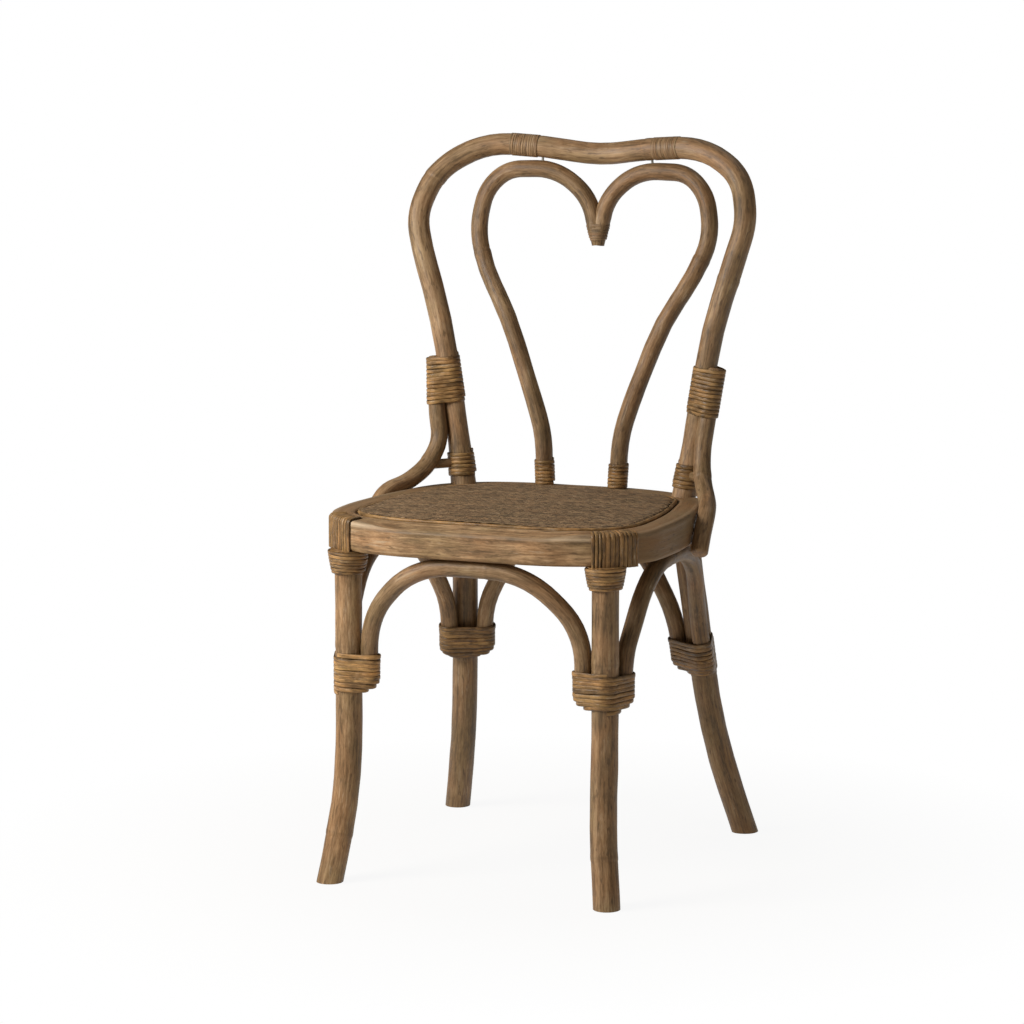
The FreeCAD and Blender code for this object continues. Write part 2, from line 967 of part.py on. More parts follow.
def build_brace_bindings():
    way = hoop_axis()[1]
    toward = brace_offset(brace_straight)
    toward.normalize()
    across = way.cross(toward)
    turns = []
    for index in range(brace_binding_turns):
        offset = brace_offset(brace_binding_rise + cane_pitch * index)
        turns.append([(0, 0, hoop_radius), local_circle(offset, toward, across, brace_radius + fit)])
    seat = straight_seat(hoop_at(brace_binding_rise), way, toward)
    keep_pair("brace_binding", winding("brace_binding", turns, cane_pitch, cane_radius, seat))


def build_foot_bindings():
    edges = path_edges(hoop_points())
    knee = hoop_points()[1] - hoop_foot()
    radii = []
    for index in range(foot_binding_turns):
        gone = foot_binding_rise + cane_pitch * index
        share = min(1, gone / knee.Length)
        radii.append(hoop_foot_radius + (hoop_radius - hoop_foot_radius) * share)
    turns = [[(0, 0, radius)] for radius in radii]
    seat = bent_seat(edges, foot_binding_rise, side)
    keep_pair("hoop_foot_binding", winding("hoop_foot_binding", turns, cane_pitch, cane_radius, seat))
    seat = bent_seat(path_edges(heart_points()), heart_binding_rise, side)
    turns = [[(0, 0, heart_radius)]] * heart_binding_turns
    keep_pair("heart_foot_binding", winding("heart_foot_binding", turns, cane_pitch, cane_radius, seat))


def build_hoop_bindings():
    edges = path_edges(hoop_points())
    middle = sum(edge.Length for edge in edges) / 2
    start = middle - hoop_binding_from_middle - fine_cane_pitch * hoop_binding_turns
    turns = [[(0, 0, hoop_radius)]] * hoop_binding_turns
    seat = bent_seat(edges, start, up)
    shape = winding("hoop_top_binding", turns, fine_cane_pitch, fine_cane_radius, seat)
    keep_pair("hoop_top_binding", shape)


def cone_turns(low_radius, high_radius, height, pitch, count, first):
    """One circle for each turn of a winding up a cone."""
    turns = []
    for index in range(count):
        share = (first + pitch * (index + 1)) / height
        turns.append([(0, 0, low_radius + (high_radius - low_radius) * share)])
    return turns


def build_point_binding():
    turns = cone_turns(point_tip_radius, point_root_radius, point_taper, fine_cane_pitch,
                       point_binding_turns, point_binding_drop)
    seat = straight_seat(point_tip() + up * point_binding_drop, up, side)
    shape = winding("heart_point_binding", turns, fine_cane_pitch, fine_cane_radius, seat)
    keep("heart_point_binding", shape)


# Collars and straps

def collar_base():
    return Vector(front_leg_x, -front_leg_y, rim_low - collar_height)


def build_collars():
    base = collar_base()
    low_radius = leg_radius + collar_skin
    cone = Part.makeCone(low_radius, collar_top_radius, collar_height, base, up)
    leg = cylinder(leg_radius + strap_fit, collar_height, base, up)
    keep_pair("leg_collar", cone.cut(leg))
    turns = cone_turns(low_radius, collar_top_radius, collar_height, fine_cane_pitch, collar_turns, 0)
    seat = straight_seat(base, up, side)
    keep_pair("collar_binding", winding("collar_binding", turns, fine_cane_pitch, fine_cane_radius, seat))


def strap_line(growth):
    """The strap's path over the rim, as distance from the corner's axis and height."""
    centre, radius = front_corner()
    outer = radius + growth
    inner = radius - rim_band - growth
    top = seat_height + growth
    corners = [(outer, rim_low), (outer, top), (inner, top), (inner, seat_height - strap_tail)]
    points = [polar(centre, reach, strap_start, height) for reach, height in corners]
    reaches = [None, rim_top_round + growth, rim_inner_round + growth, None]
    return points, path_edges(points, 0.48, reaches)


def build_straps():
    inner_points, inner = strap_line(strap_fit)
    outer_points, outer = strap_line(strap_fit + strap_thickness)
    first = Part.LineSegment(inner_points[0], outer_points[0]).toShape()
    last = Part.LineSegment(inner_points[-1], outer_points[-1]).toShape()
    profile = Part.Face(Part.Wire(Part.__sortEdges__(inner + outer + [first, last])))
    centre, radius = front_corner()
    strap = profile.revolve(centre, up, math.degrees(strap_step * strap_share))
    straps = []
    for index in range(strap_count):
        turned = strap.copy()
        turned.rotate(centre, up, math.degrees(strap_step) * index)
        straps.append(turned)
    keep_pair("corner_straps", group(straps))


# Dowels, screws and pins

def build_dowels():
    low = Vector(front_leg_x, -front_leg_y, rim_low - leg_dowel_down)
    front = cylinder(leg_dowel_radius, leg_dowel_down + leg_dowel_up, low, up)
    low = Vector(hoop_foot_x, hoop_foot_y, rim_low - leg_dowel_down)
    rear = cylinder(leg_dowel_radius, leg_dowel_down + rim_height + hoop_dowel_up, low, up)
    foot = heart_foot()
    low = foot - up * heart_dowel_down
    heart = cylinder(heart_dowel_radius, heart_dowel_down + heart_dowel_up, low, up)
    keep("front_leg_dowels", pairs([front]))
    keep("rear_leg_dowels", pairs([rear]))
    keep("heart_dowels", pairs([heart]))
    for side_name in ("_left", "_right"):
        bore("front_leg" + side_name, nodes["front_leg_dowels"])
        bore("rear_leg" + side_name, nodes["rear_leg_dowels"])
        bore("heart_lobe" + side_name, nodes["heart_dowels"])
    bore("seat_front_rail", nodes["front_leg_dowels"])
    bore("back_hoop", nodes["rear_leg_dowels"])
    bore("seat_rim", nodes["rear_leg_dowels"])
    bore("seat_rim", nodes["heart_dowels"])


def build_rail_dowels():
    centre, radius = front_corner()
    middle_height = seat_height - rim_height / 2
    tangent = Vector(-math.sin(rail_joint_angle), math.cos(rail_joint_angle), 0)
    dowels = []
    for step in (-1, 1):
        middle = polar(centre, radius - rim_band / 2, rail_joint_angle,
                       middle_height + step * rail_dowel_offset)
        dowels.append(cylinder(rail_dowel_radius, 2 * rail_dowel_half, middle - tangent * rail_dowel_half, tangent))
    keep("rail_dowels", pairs(dowels))
    bore("seat_rim", nodes["rail_dowels"])
    bore("seat_front_rail", nodes["rail_dowels"])


def upward_screw(x, y):
    low = arch_top - arch_radius + screw_head_height / 2
    return screw(Vector(x, y, low), up, arch_screw_length)


def build_arch_screws():
    front_y = front_arch_points()[2].y
    rear_y = rear_arch_points()[2].y
    side_middle = (side_arch_flat_back - side_arch_flat_front) / 2
    screws = [
        upward_screw(arch_screw_spread, front_y),
        upward_screw(arch_screw_spread, rear_y),
        upward_screw(side_arch_x, side_middle - arch_screw_spread),
        upward_screw(side_arch_x, side_middle + arch_screw_spread),
    ]
    keep("arch_screws", pairs(screws))
    for name in ("front_arch", "rear_arch", "side_arch_left", "side_arch_right",
                 "seat_rim", "seat_front_rail"):
        bore(name, nodes["arch_screws"])


def build_frame_screws():
    screws = []
    height = (frame_low + frame_top) / 2
    inner = rim_band + fit + frame_width
    corners = rim_corners()
    for index in (0, 2, 3, 4):
        centre, radius, first, middle, last = corners[index]
        base = polar(centre, radius - inner, middle, height)
        screws.append(screw(base, polar(origin, radius, middle, 0), frame_screw_length))
    keep("frame_screws", pairs(screws))
    for name in ("seat_frame", "seat_rim", "seat_front_rail"):
        bore(name, nodes["frame_screws"])


def build_brace_screws():
    """One through each brace's low end into the rim, and one through the heart into the hoop."""
    height = seat_height - brace_screw_sink
    middle = point_at_height(list(reversed(path_edges(brace_points()))), height)
    start = middle + side * (brace_radius - screw_head_height / 2)
    keep("brace_screws", pairs([screw(start, side * -1, brace_screw_length)]))
    for side_name in ("_left", "_right"):
        bore("side_brace" + side_name, nodes["brace_screws"])
    bore("seat_rim", nodes["brace_screws"])


def nearest(edges, point):
    """The place on a path that is nearest to a point."""
    return Part.Wire(edges).distToShape(Part.Vertex(point))[1][0][0]


def along(edges, length):
    """The place at a distance along a path."""
    for edge in edges:
        if length <= edge.Length:
            return edge.valueAt(edge.getParameterByLength(length))
        length -= edge.Length
    raise ValueError("the path is shorter")


def build_heart_top_pins():
    """One from each lobe's top up into the hoop, beside the binding."""
    edges = path_edges(hoop_points())
    middle = sum(edge.Length for edge in edges) / 2
    above = along(edges, middle - heart_pin_from_middle)
    below = nearest(path_edges(heart_points()), above)
    keep("heart_top_pins", pairs([cylinder(pin_radius, (above - below).Length, below, above - below)]))
    for name in ("heart_lobe_left", "heart_lobe_right", "back_hoop"):
        bore(name, nodes["heart_top_pins"])


def build_arch_end_pins():
    """Under the bindings, from each arch's end into the leg."""
    pins = []
    ends = [
        (front_leg_axis(), math.pi, front_binding_height),
        (front_leg_axis(), side_bearing_front, front_binding_height + end_pin_step),
        (rear_leg_axis(), math.pi, rear_binding_height),
        (rear_leg_axis(), side_bearing_rear, rear_binding_height + end_pin_step),
    ]
    for axis, bearing, foot in ends:
        offset = beside_leg(axis, bearing)
        base = on_axis(axis, foot + end_pin_rise) + offset * (1 + arch_radius * pin_share / leg_gap)
        pins.append(cylinder(pin_radius, pin_length, base, offset * -1))
    keep("arch_end_pins", pairs(pins))
    for name in ("front_arch", "rear_arch", "side_arch", "front_leg", "rear_leg"):
        for side_name in ("", "_left", "_right"):
            if name + side_name in nodes:
                bore(name + side_name, nodes["arch_end_pins"])


def build_point_pin():
    height = point_tip().z + pin_drop
    low = Vector(-pin_length / 2, point_tip().y, height)
    keep("heart_point_pin", cylinder(pin_radius, pin_length, low, side))
    for side_name in ("_left", "_right"):
        bore("heart_lobe" + side_name, nodes["heart_point_pin"])


def box_shift():
    """Brings the middle of the whole box, which the feet reach the sides of, over the origin."""
    front = nodes["front_leg_right"].optimalBoundingBox(False, False)
    rear = nodes["rear_leg_right"].optimalBoundingBox(False, False)
    return -(front.YMin + rear.YMax) / 2


def write_parts():
    shift = Vector(0, box_shift(), 0)
    os.makedirs("parts", exist_ok=True)
    for name, shape in nodes.items():
        shape.translate(shift)
        shape.exportStep("parts/" + name + ".step")


def build():
    build_rim()
    build_seat()
    build_legs()
    build_hoop()
    build_heart()
    build_braces()
    build_pegs()
    build_arches()
    build_leg_bindings()
    build_brace_bindings()
    build_foot_bindings()
    build_hoop_bindings()
    build_point_binding()
    build_collars()
    build_straps()
    build_dowels()
    build_rail_dowels()
    build_arch_screws()
    build_frame_screws()
    build_brace_screws()
    build_heart_top_pins()
    build_arch_end_pins()
    build_point_pin()
    for name, shape in nodes.items():
        print(name, "solids", len(shape.Solids), "volume", round(shape.Volume), "valid", shape.isValid())
    print("box shift", round(box_shift(), 3))
    write_parts()


build()
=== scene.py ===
import bisect
import math
import random

import bmesh
import bpy
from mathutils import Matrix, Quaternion, Vector, noise


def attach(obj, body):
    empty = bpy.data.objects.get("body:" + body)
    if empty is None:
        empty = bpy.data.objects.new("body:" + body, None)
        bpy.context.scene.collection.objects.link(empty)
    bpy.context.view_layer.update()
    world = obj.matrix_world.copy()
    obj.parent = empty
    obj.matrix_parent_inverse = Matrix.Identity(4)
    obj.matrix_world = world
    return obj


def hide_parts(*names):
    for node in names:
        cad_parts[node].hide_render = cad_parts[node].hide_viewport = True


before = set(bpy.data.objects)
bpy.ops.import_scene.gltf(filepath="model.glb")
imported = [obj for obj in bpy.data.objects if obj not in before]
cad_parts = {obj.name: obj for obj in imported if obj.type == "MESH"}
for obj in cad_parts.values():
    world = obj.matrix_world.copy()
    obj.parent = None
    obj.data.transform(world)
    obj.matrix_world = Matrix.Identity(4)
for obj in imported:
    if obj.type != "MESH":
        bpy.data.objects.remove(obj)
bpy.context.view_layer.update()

bl_info = {
    "name": "Cane Chair",
    "version": (1, 0, 0),
    "blender": (4, 5, 0),
    "location": "3D View > Sidebar > Cane Chair",
    "description": "Dresses the cane side chair's solids with poles, windings and a woven seat",
    "category": "Add Mesh",
}

# Lengths in this file are metres where they are properties, and millimetres in the tables of points.
MM = 0.001
QUARTER = math.pi / 2
SEAT_TOP = 450.0
RIM_LOW = 410.0
# The CAD model's middle lies this far from the middle that the tables are measured from
SET_BACK = -0.253

# Right halves of the poles' centre lines
HOOP = [
    (151.5, 127.0, 450.0), (161.0, 131.75, 515.25), (184.4, 133.2, 660.1), (212.4, 136.0, 749.1),
    (224.5, 145.05, 794.1), (208.8, 174.2, 850.2), (149.7, 196.8, 885.0), (73.9, 209.2, 882.0),
]
HOOP_MIDDLE = (0.0, 222.0, 870.2)
HEART = [
    (49.5, 155.5, 450.0), (53.0, 157.5, 516.5), (67.0, 158.4, 560.5), (105.5, 168.0, 663.7),
    (142.6, 181.3, 722.8), (161.0, 195.2, 772.2), (151.2, 202.4, 825.0), (123.5, 208.1, 851.6),
    (54.7, 211.1, 853.2), (8.0, 212.9, 813.0), (3.0, 213.5, 756.0),
]
FRONT_LEG = [(168.0, -195.5, 410.0), (168.0, -195.5, 165.0), (169.5, -205.0, 95.0), (182.0, -224.5, 0.0)]
REAR_LEG = [
    (151.5, 127.0, 410.0), (155.0, 140.0, 350.0), (168.0, 170.0, 185.0), (180.0, 192.0, 100.0),
    (202.5, 224.5, 0.0),
]
RIM_OUTLINE = [(109.9, -231.0), (212.0, -192.0), (219.0, -40.0), (184.0, 122.0), (98.0, 171.0)]
RIM_ROUND_SHARES = [0.38, 0.60, 0.48, 0.48, 0.48]
# Names of the two sides, and whether the right half's shape is mirrored for it
SIDES = (("right", False), ("left", True))
# Metres left between two poles that lie side by side
POLE_GAP = 0.0003
# Heights over the seat of the brace binding's foot and top
BRACE_LOW = 0.094
BRACE_HIGH = 0.170
# Share of the gap between hoop and brace that is left at the brace's top
BRACE_SINK = 0.551
# Depth of the collars' cores under the rim, and of their windings
COLLAR_DEPTH = 27.5
# Between binding and rim, in metres, the braces' way out and forward from their bound end, and height
BRACE_FREE = [(-0.0053, 0.0003, 0.5089), (0.0026, 0.0198, 0.4763)]
# Beside the rim, the braces' way forward from their bound end, gap to the outline, and height over the seat
BRACE_BESIDE = [(51.5, 7.7, 5.5), (88.3, 13.0, 0.0), (117.4, 12.0, -24.0), (137.6, 11.6, -47.7)]


def chair_point(x, y, z=0.0):
    """A point of the tables, in metres and in the CAD model's place."""
    return Vector((x * MM, (y + SET_BACK) * MM, z * MM))


def mirrored(point):
    return Vector((-point.x, point.y, point.z))


# Paths

def rounded_path(points, share=0.48, reaches=None, arc_step=0.12):
    """Straight runs between the points, joined by arcs tangent to both, as closely spaced places."""
    places = [points[0].copy()]
    for index in range(1, len(points) - 1):
        corner = points[index]
        back = points[index - 1] - corner
        ahead = points[index + 1] - corner
        reach = share * min(back.length, ahead.length)
        if reaches and reaches[index] is not None:
            reach = min(reach, reaches[index])
        back.normalize()
        ahead.normalize()
        middle_way = back + ahead
        if middle_way.length < 1e-4:
            continue
        half = back.angle(ahead) / 2
        middle_way.normalize()
        centre = corner + middle_way * (reach / math.cos(half))
        first = corner + back * reach - centre
        last = corner + ahead * reach - centre
        steps = max(2, math.ceil((math.pi - 2 * half) / arc_step))
        for step in range(steps + 1):
            spoke = first.normalized().slerp(last.normalized(), step / steps)
            places.append(centre + spoke * first.length)
    places.append(points[-1].copy())
    return places


class Path:
    """A path that gives its place and direction at any distance along it."""

    def __init__(self, places):
        self.places = [places[0]]
        self.marks = [0.0]
        for place in places[1:]:
            gone = (place - self.places[-1]).length
            if gone > 1e-6:
                self.marks.append(self.marks[-1] + gone)
                self.places.append(place)
        self.length = self.marks[-1]

    def at(self, distance):
        distance = min(max(distance, 0.0), self.length)
        index = min(bisect.bisect_right(self.marks, distance), len(self.marks) - 1)
        low = self.marks[index - 1]
        share = (distance - low) / (self.marks[index] - low)
        return self.places[index - 1].lerp(self.places[index], share)

    def way(self, distance, reach=0.002):
        low = max(distance - reach, 0.0)
        high = min(distance + reach, self.length)
        return (self.at(high) - self.at(low)).normalized()

    def height_mark(self, height):
        """The first distance at which the path crosses a height."""
        for index in range(1, len(self.places)):
            low, high = self.places[index - 1].z, self.places[index].z
            if min(low, high) <= height <= max(low, high) and low != high:
                share = (height - low) / (high - low)
                return self.marks[index - 1] + share * (self.marks[index] - self.marks[index - 1])
        raise ValueError("the path doesn't reach this height")


def carried_frames(path, stations, first_side):
    """Turns a side direction along the path with as little twist as possible."""
    frames = []
    side = first_side
    previous = None
    for station in stations:
        way = path.way(station)
        if previous is not None:
            side = previous.rotation_difference(way) @ side
        side = (side - way * side.dot(way)).normalized()
        frames.append((path.at(station), side, way.cross(side), way))
        previous = way
    return frames


# Swept pieces

def straight_bar(sides, rings):
    """A unit tube along +Z with one ring at each whole height, rolled up from a flat grid."""
    bm = bmesh.new()
    bmesh.ops.create_grid(bm, x_segments=sides, y_segments=rings - 1, size=1.0)
    seam = [vert for vert in bm.verts if abs(vert.co.x) > 1 - 1e-5]
    for vert in bm.verts:
        turn = math.pi * (1 + vert.co.x)
        vert.co = (math.cos(turn), math.sin(turn), round((vert.co.y + 1) / 2 * (rings - 1)))
    bmesh.ops.weld_verts(bm, targetmap=dict(zip(seam[1::2], seam[0::2])))
    return bm


def close_ends(bm):
    rims = [edge for edge in bm.edges if len(edge.link_faces) == 1]
    bmesh.ops.holes_fill(bm, edges=rims, sides=0)


def finish_mesh(bm, name, material, smooth_angle=math.radians(50)):
    bmesh.ops.recalc_face_normals(bm, faces=bm.faces[:])
    for face in bm.faces:
        face.smooth = True
    for edge in bm.edges:
        if len(edge.link_faces) == 2 and edge.calc_face_angle(0) > smooth_angle:
            edge.smooth = False
    mesh = bpy.data.meshes.new(name)
    bm.to_mesh(mesh)
    bm.free()
    mesh.materials.append(material)
    piece = bpy.data.objects.new(name, mesh)
    bpy.context.scene.collection.objects.link(piece)
    return piece


def settle(piece, slot, *nodes):
    """Makes the piece ride on the chair and stand for its CAD nodes."""
    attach(piece, "root")
    if nodes:
        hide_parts(*nodes)


# How much paler or darker than the rest single pieces are
TONES = {
    "cane_front_leg_left": 1.22, "cane_rear_leg_left": 0.88, "cane_rear_leg_right": 0.95,
    "peel_front_leg_binding_left": 1.42, "peel_rear_leg_binding_left": 0.82,
    "peel_rear_leg_binding_right": 0.88, "peel_brace_binding_left": 1.2, "cane_back_hoop": 0.99,
    "peel_corner_straps_left": 0.80, "cane_side_arch_right": 0.85, "cane_rear_arch": 0.9,
    "cane_front_arch": 0.93, "cane_side_arch_left": 0.92, "cane_heart_lobe_left": 0.96,
    "peel_heart_point_binding": 0.82, "peel_hoop_top_binding_right": 0.92,
    "peel_hoop_top_binding_left": 0.96,
}


class Bars:
    """Collects swept bars in one mesh, with each point's place on its own straightened bar."""

    def __init__(self, seed, flip=False):
        self.bm = bmesh.new()
        self.bm.verts.layers.float_vector.new("straight")
        self.bm.verts.layers.float.new("mark")
        self.tone = self.bm.verts.layers.float.new("tone")
        self.random = random.Random(seed)
        self.flip = flip

    def add(self, frames, stations, section, sides, closed_ends=True, marks=None):
        """Sweeps a section. It gives the reach of each angle at each station, to the side and across."""
        bar = straight_bar(sides, len(frames))
        if closed_ends:
            close_ends(bar)
        straight = bar.verts.layers.float_vector.new("straight")
        mark = bar.verts.layers.float.new("mark")
        offset = self.random.uniform(0.0, 40.0)
        for vert in bar.verts:
            index = round(vert.co.z)
            angle = math.atan2(vert.co.y, vert.co.x)
            side, across = section(stations[index], angle)
            place, side_way, across_way = frames[index][:3]
            vert[straight] = Vector((side, across, stations[index] + offset))
            vert[mark] = marks(stations[index], angle) if marks else 0.0
            vert.co = place + side_way * side + across_way * across
        if self.flip:
            bmesh.ops.scale(bar, verts=bar.verts[:], vec=(-1, 1, 1))
        self.take(bar)

    def take(self, part):
        """Adds another bmesh to this one and frees it."""
        scratch = bpy.data.meshes.new("scratch")
        part.to_mesh(scratch)
        part.free()
        self.bm.from_mesh(scratch)
        bpy.data.meshes.remove(scratch)

    def mirror(self):
        bmesh.ops.scale(self.bm, verts=self.bm.verts[:], vec=(-1, 1, 1))

    def piece(self, name, material, smooth_angle=math.radians(50)):
        for vert in self.bm.verts:
            vert[self.tone] = TONES.get(name, 1.0)
        return finish_mesh(self.bm, name, material, smooth_angle)


def pole_stations(length, step, end_round):
    """Even stations, with closer ones at the two rounded ends."""
    ends = [end_round * share for share in (0.0, 0.12, 0.35, 0.65, 1.0)] if end_round else [0.0]
    inner = length - 2 * ends[-1]
    count = max(2, round(inner / step))
    middle = [ends[-1] + inner * k / count for k in range(1, count)]
    return ends + middle + [length - end for end in reversed(ends)]


def cane_section(radius_at, length, end_round, nodes, seed, lump=0.00022):
    """A slightly uneven round section with swollen nodes and eased ends."""
    def section(station, angle):
        radius = radius_at(station / length)
        place = Vector((math.cos(angle) * 1.3, math.sin(angle) * 1.3, station * 22.0 + seed))
        radius += lump * noise.noise(place) * 2.2
        slow = Vector((math.cos(angle) * 0.5, math.sin(angle) * 0.5, station * 6.0 + seed * 3.1))
        radius += lump * 1.6 * noise.noise(slow)
        for node in nodes:
            gap = (station - node) / 0.006
            if abs(gap) < 3:
                radius += 0.00045 * math.exp(-gap * gap) - 0.00030 * math.exp(-(gap - 0.9) ** 2 * 9)
        if end_round:
            gone = min(station, length - station)
            if gone < end_round:
                radius -= end_round * (1 - math.sqrt(max(0.0, 1 - (1 - gone / end_round) ** 2)))
        return radius * math.cos(angle), radius * math.sin(angle)
    return section


def node_marks(nodes):
    def mark(station, angle):
        return sum(math.exp(-((station - node) / 0.0016) ** 2) for node in nodes)
    return mark


def add_pole(bars, points, radius_at, seed, step=0.004, sides=28, end_round=0.0, nodes=()):
    path = Path(rounded_path(points))
    stations = pole_stations(path.length, step, end_round)
    for node in nodes:
        stations += [node + k * 0.0012 for k in range(-4, 7)]
    stations = sorted(set(stations))
    stations = [s for s in stations if 0 <= s <= path.length]
    frames = carried_frames(path, stations, Vector((0.3, -1.0, 0.2)))
    section = cane_section(radius_at, path.length, end_round, nodes, seed)
    bars.add(frames, stations, section, sides, True, node_marks(nodes))
    return path


def cut_plane(bm, place, normal, ahead=True):
    """Cuts a mesh at a plane and closes it there, keeping what is ahead of the plane or behind it."""
    geom = bm.verts[:] + bm.edges[:] + bm.faces[:]
    cut = bmesh.ops.bisect_plane(bm, geom=geom, plane_co=place, plane_no=normal,
                                 clear_inner=ahead, clear_outer=not ahead)
    edges = [item for item in cut["geom_cut"] if isinstance(item, bmesh.types.BMEdge)]
    bmesh.ops.holes_fill(bm, edges=edges, sides=0)


def cut_level(bm, height, above):
    cut_plane(bm, (0, 0, height), (0, 0, 1), above)


def extended(points, before=0.0, after=0.0):
    """Carries the first and the last run on."""
    points = [point.copy() for point in points]
    if before:
        points[0] += (points[0] - points[1]).normalized() * before
    if after:
        points[-1] += (points[-1] - points[-2]).normalized() * after
    return points


def steady(radius):
    return lambda share: radius


# Materials

def new_material(name):
    material = bpy.data.materials.new(name)
    material.use_nodes = True
    tree = material.node_tree
    tree.nodes.clear()
    output = tree.nodes.new("ShaderNodeOutputMaterial")
    shader = tree.nodes.new("ShaderNodeBsdfPrincipled")
    tree.links.new(shader.outputs["BSDF"], output.inputs["Surface"])
    return material, tree, shader


def own_attribute(tree, name, output="Fac"):
    """An attribute that the bars carry: straight, mark or tone."""
    attribute = tree.nodes.new("ShaderNodeAttribute")
    attribute.attribute_name = name
    return attribute.outputs[output]


def straight_coordinates(tree, scale):
    """The place on the straightened bar, stretched for grain that runs along it."""
    return stretched(tree, own_attribute(tree, "straight", "Vector"), scale)


def object_coordinates(tree, scale):
    source = tree.nodes.new("ShaderNodeTexCoord")
    return stretched(tree, source.outputs["Object"], scale)


def stretched(tree, source, scale):
    mapping = tree.nodes.new("ShaderNodeMapping")
    mapping.inputs["Scale"].default_value = scale
    tree.links.new(source, mapping.inputs["Vector"])
    return mapping.outputs["Vector"]


def grain(tree, coordinates, scale, detail=4.0, roughness=0.6):
    texture = tree.nodes.new("ShaderNodeTexNoise")
    texture.inputs["Scale"].default_value = scale
    texture.inputs["Detail"].default_value = detail
    texture.inputs["Roughness"].default_value = roughness
    tree.links.new(coordinates, texture.inputs["Vector"])
    return texture.outputs["Fac"]


def ramp(tree, source, stops):
    node = tree.nodes.new("ShaderNodeValToRGB")
    elements = node.color_ramp.elements
    while len(elements) < len(stops):
        elements.new(0.5)
    for element, (position, color) in zip(elements, stops):
        element.position = position
        element.color = (*color, 1.0) if len(color) == 3 else color
    tree.links.new(source, node.inputs["Fac"])
    return node.outputs["Color"]


def span(tree, source, low, high, to_low=0.0, to_high=1.0):
    node = tree.nodes.new("ShaderNodeMapRange")
    node.inputs["From Min"].default_value = low
    node.inputs["From Max"].default_value = high
    node.inputs["To Min"].default_value = to_low
    node.inputs["To Max"].default_value = to_high
    tree.links.new(source, node.inputs["Value"])
    return node.outputs["Result"]


def blend(tree, factor, first, second, kind="MIX"):
    node = tree.nodes.new("ShaderNodeMix")
    node.data_type = "RGBA"
    node.blend_type = kind
    if isinstance(factor, float):
        node.inputs["Factor"].default_value = factor
    else:
        tree.links.new(factor, node.inputs["Factor"])
    for socket, value in ((node.inputs[6], first), (node.inputs[7], second)):
        if isinstance(value, tuple):
            socket.default_value = (*value, 1.0)
        else:
            tree.links.new(value, socket)
    return node.outputs[2]


def calculate(tree, kind, first, second):
    node = tree.nodes.new("ShaderNodeMath")
    node.operation = kind
    for socket, value in zip(node.inputs, (first, second)):
        if isinstance(value, (int, float)):
            socket.default_value = value
        else:
            tree.links.new(value, socket)
    return node.outputs[0]


def bump(tree, shader, height, distance, strength):
    node = tree.nodes.new("ShaderNodeBump")
    node.inputs["Distance"].default_value = distance
    node.inputs["Strength"].default_value = strength
    tree.links.new(height, node.inputs["Height"])
    tree.links.new(node.outputs["Normal"], shader.inputs["Normal"])


def shade(color, share):
    return tuple(value * share for value in color)


def weighted(tree, parts):
    """The sum of several textures, each times its weight."""
    total = 0.0
    for source, weight in parts:
        total = calculate(tree, "ADD", calculate(tree, "MULTIPLY", source, weight), total)
    return total


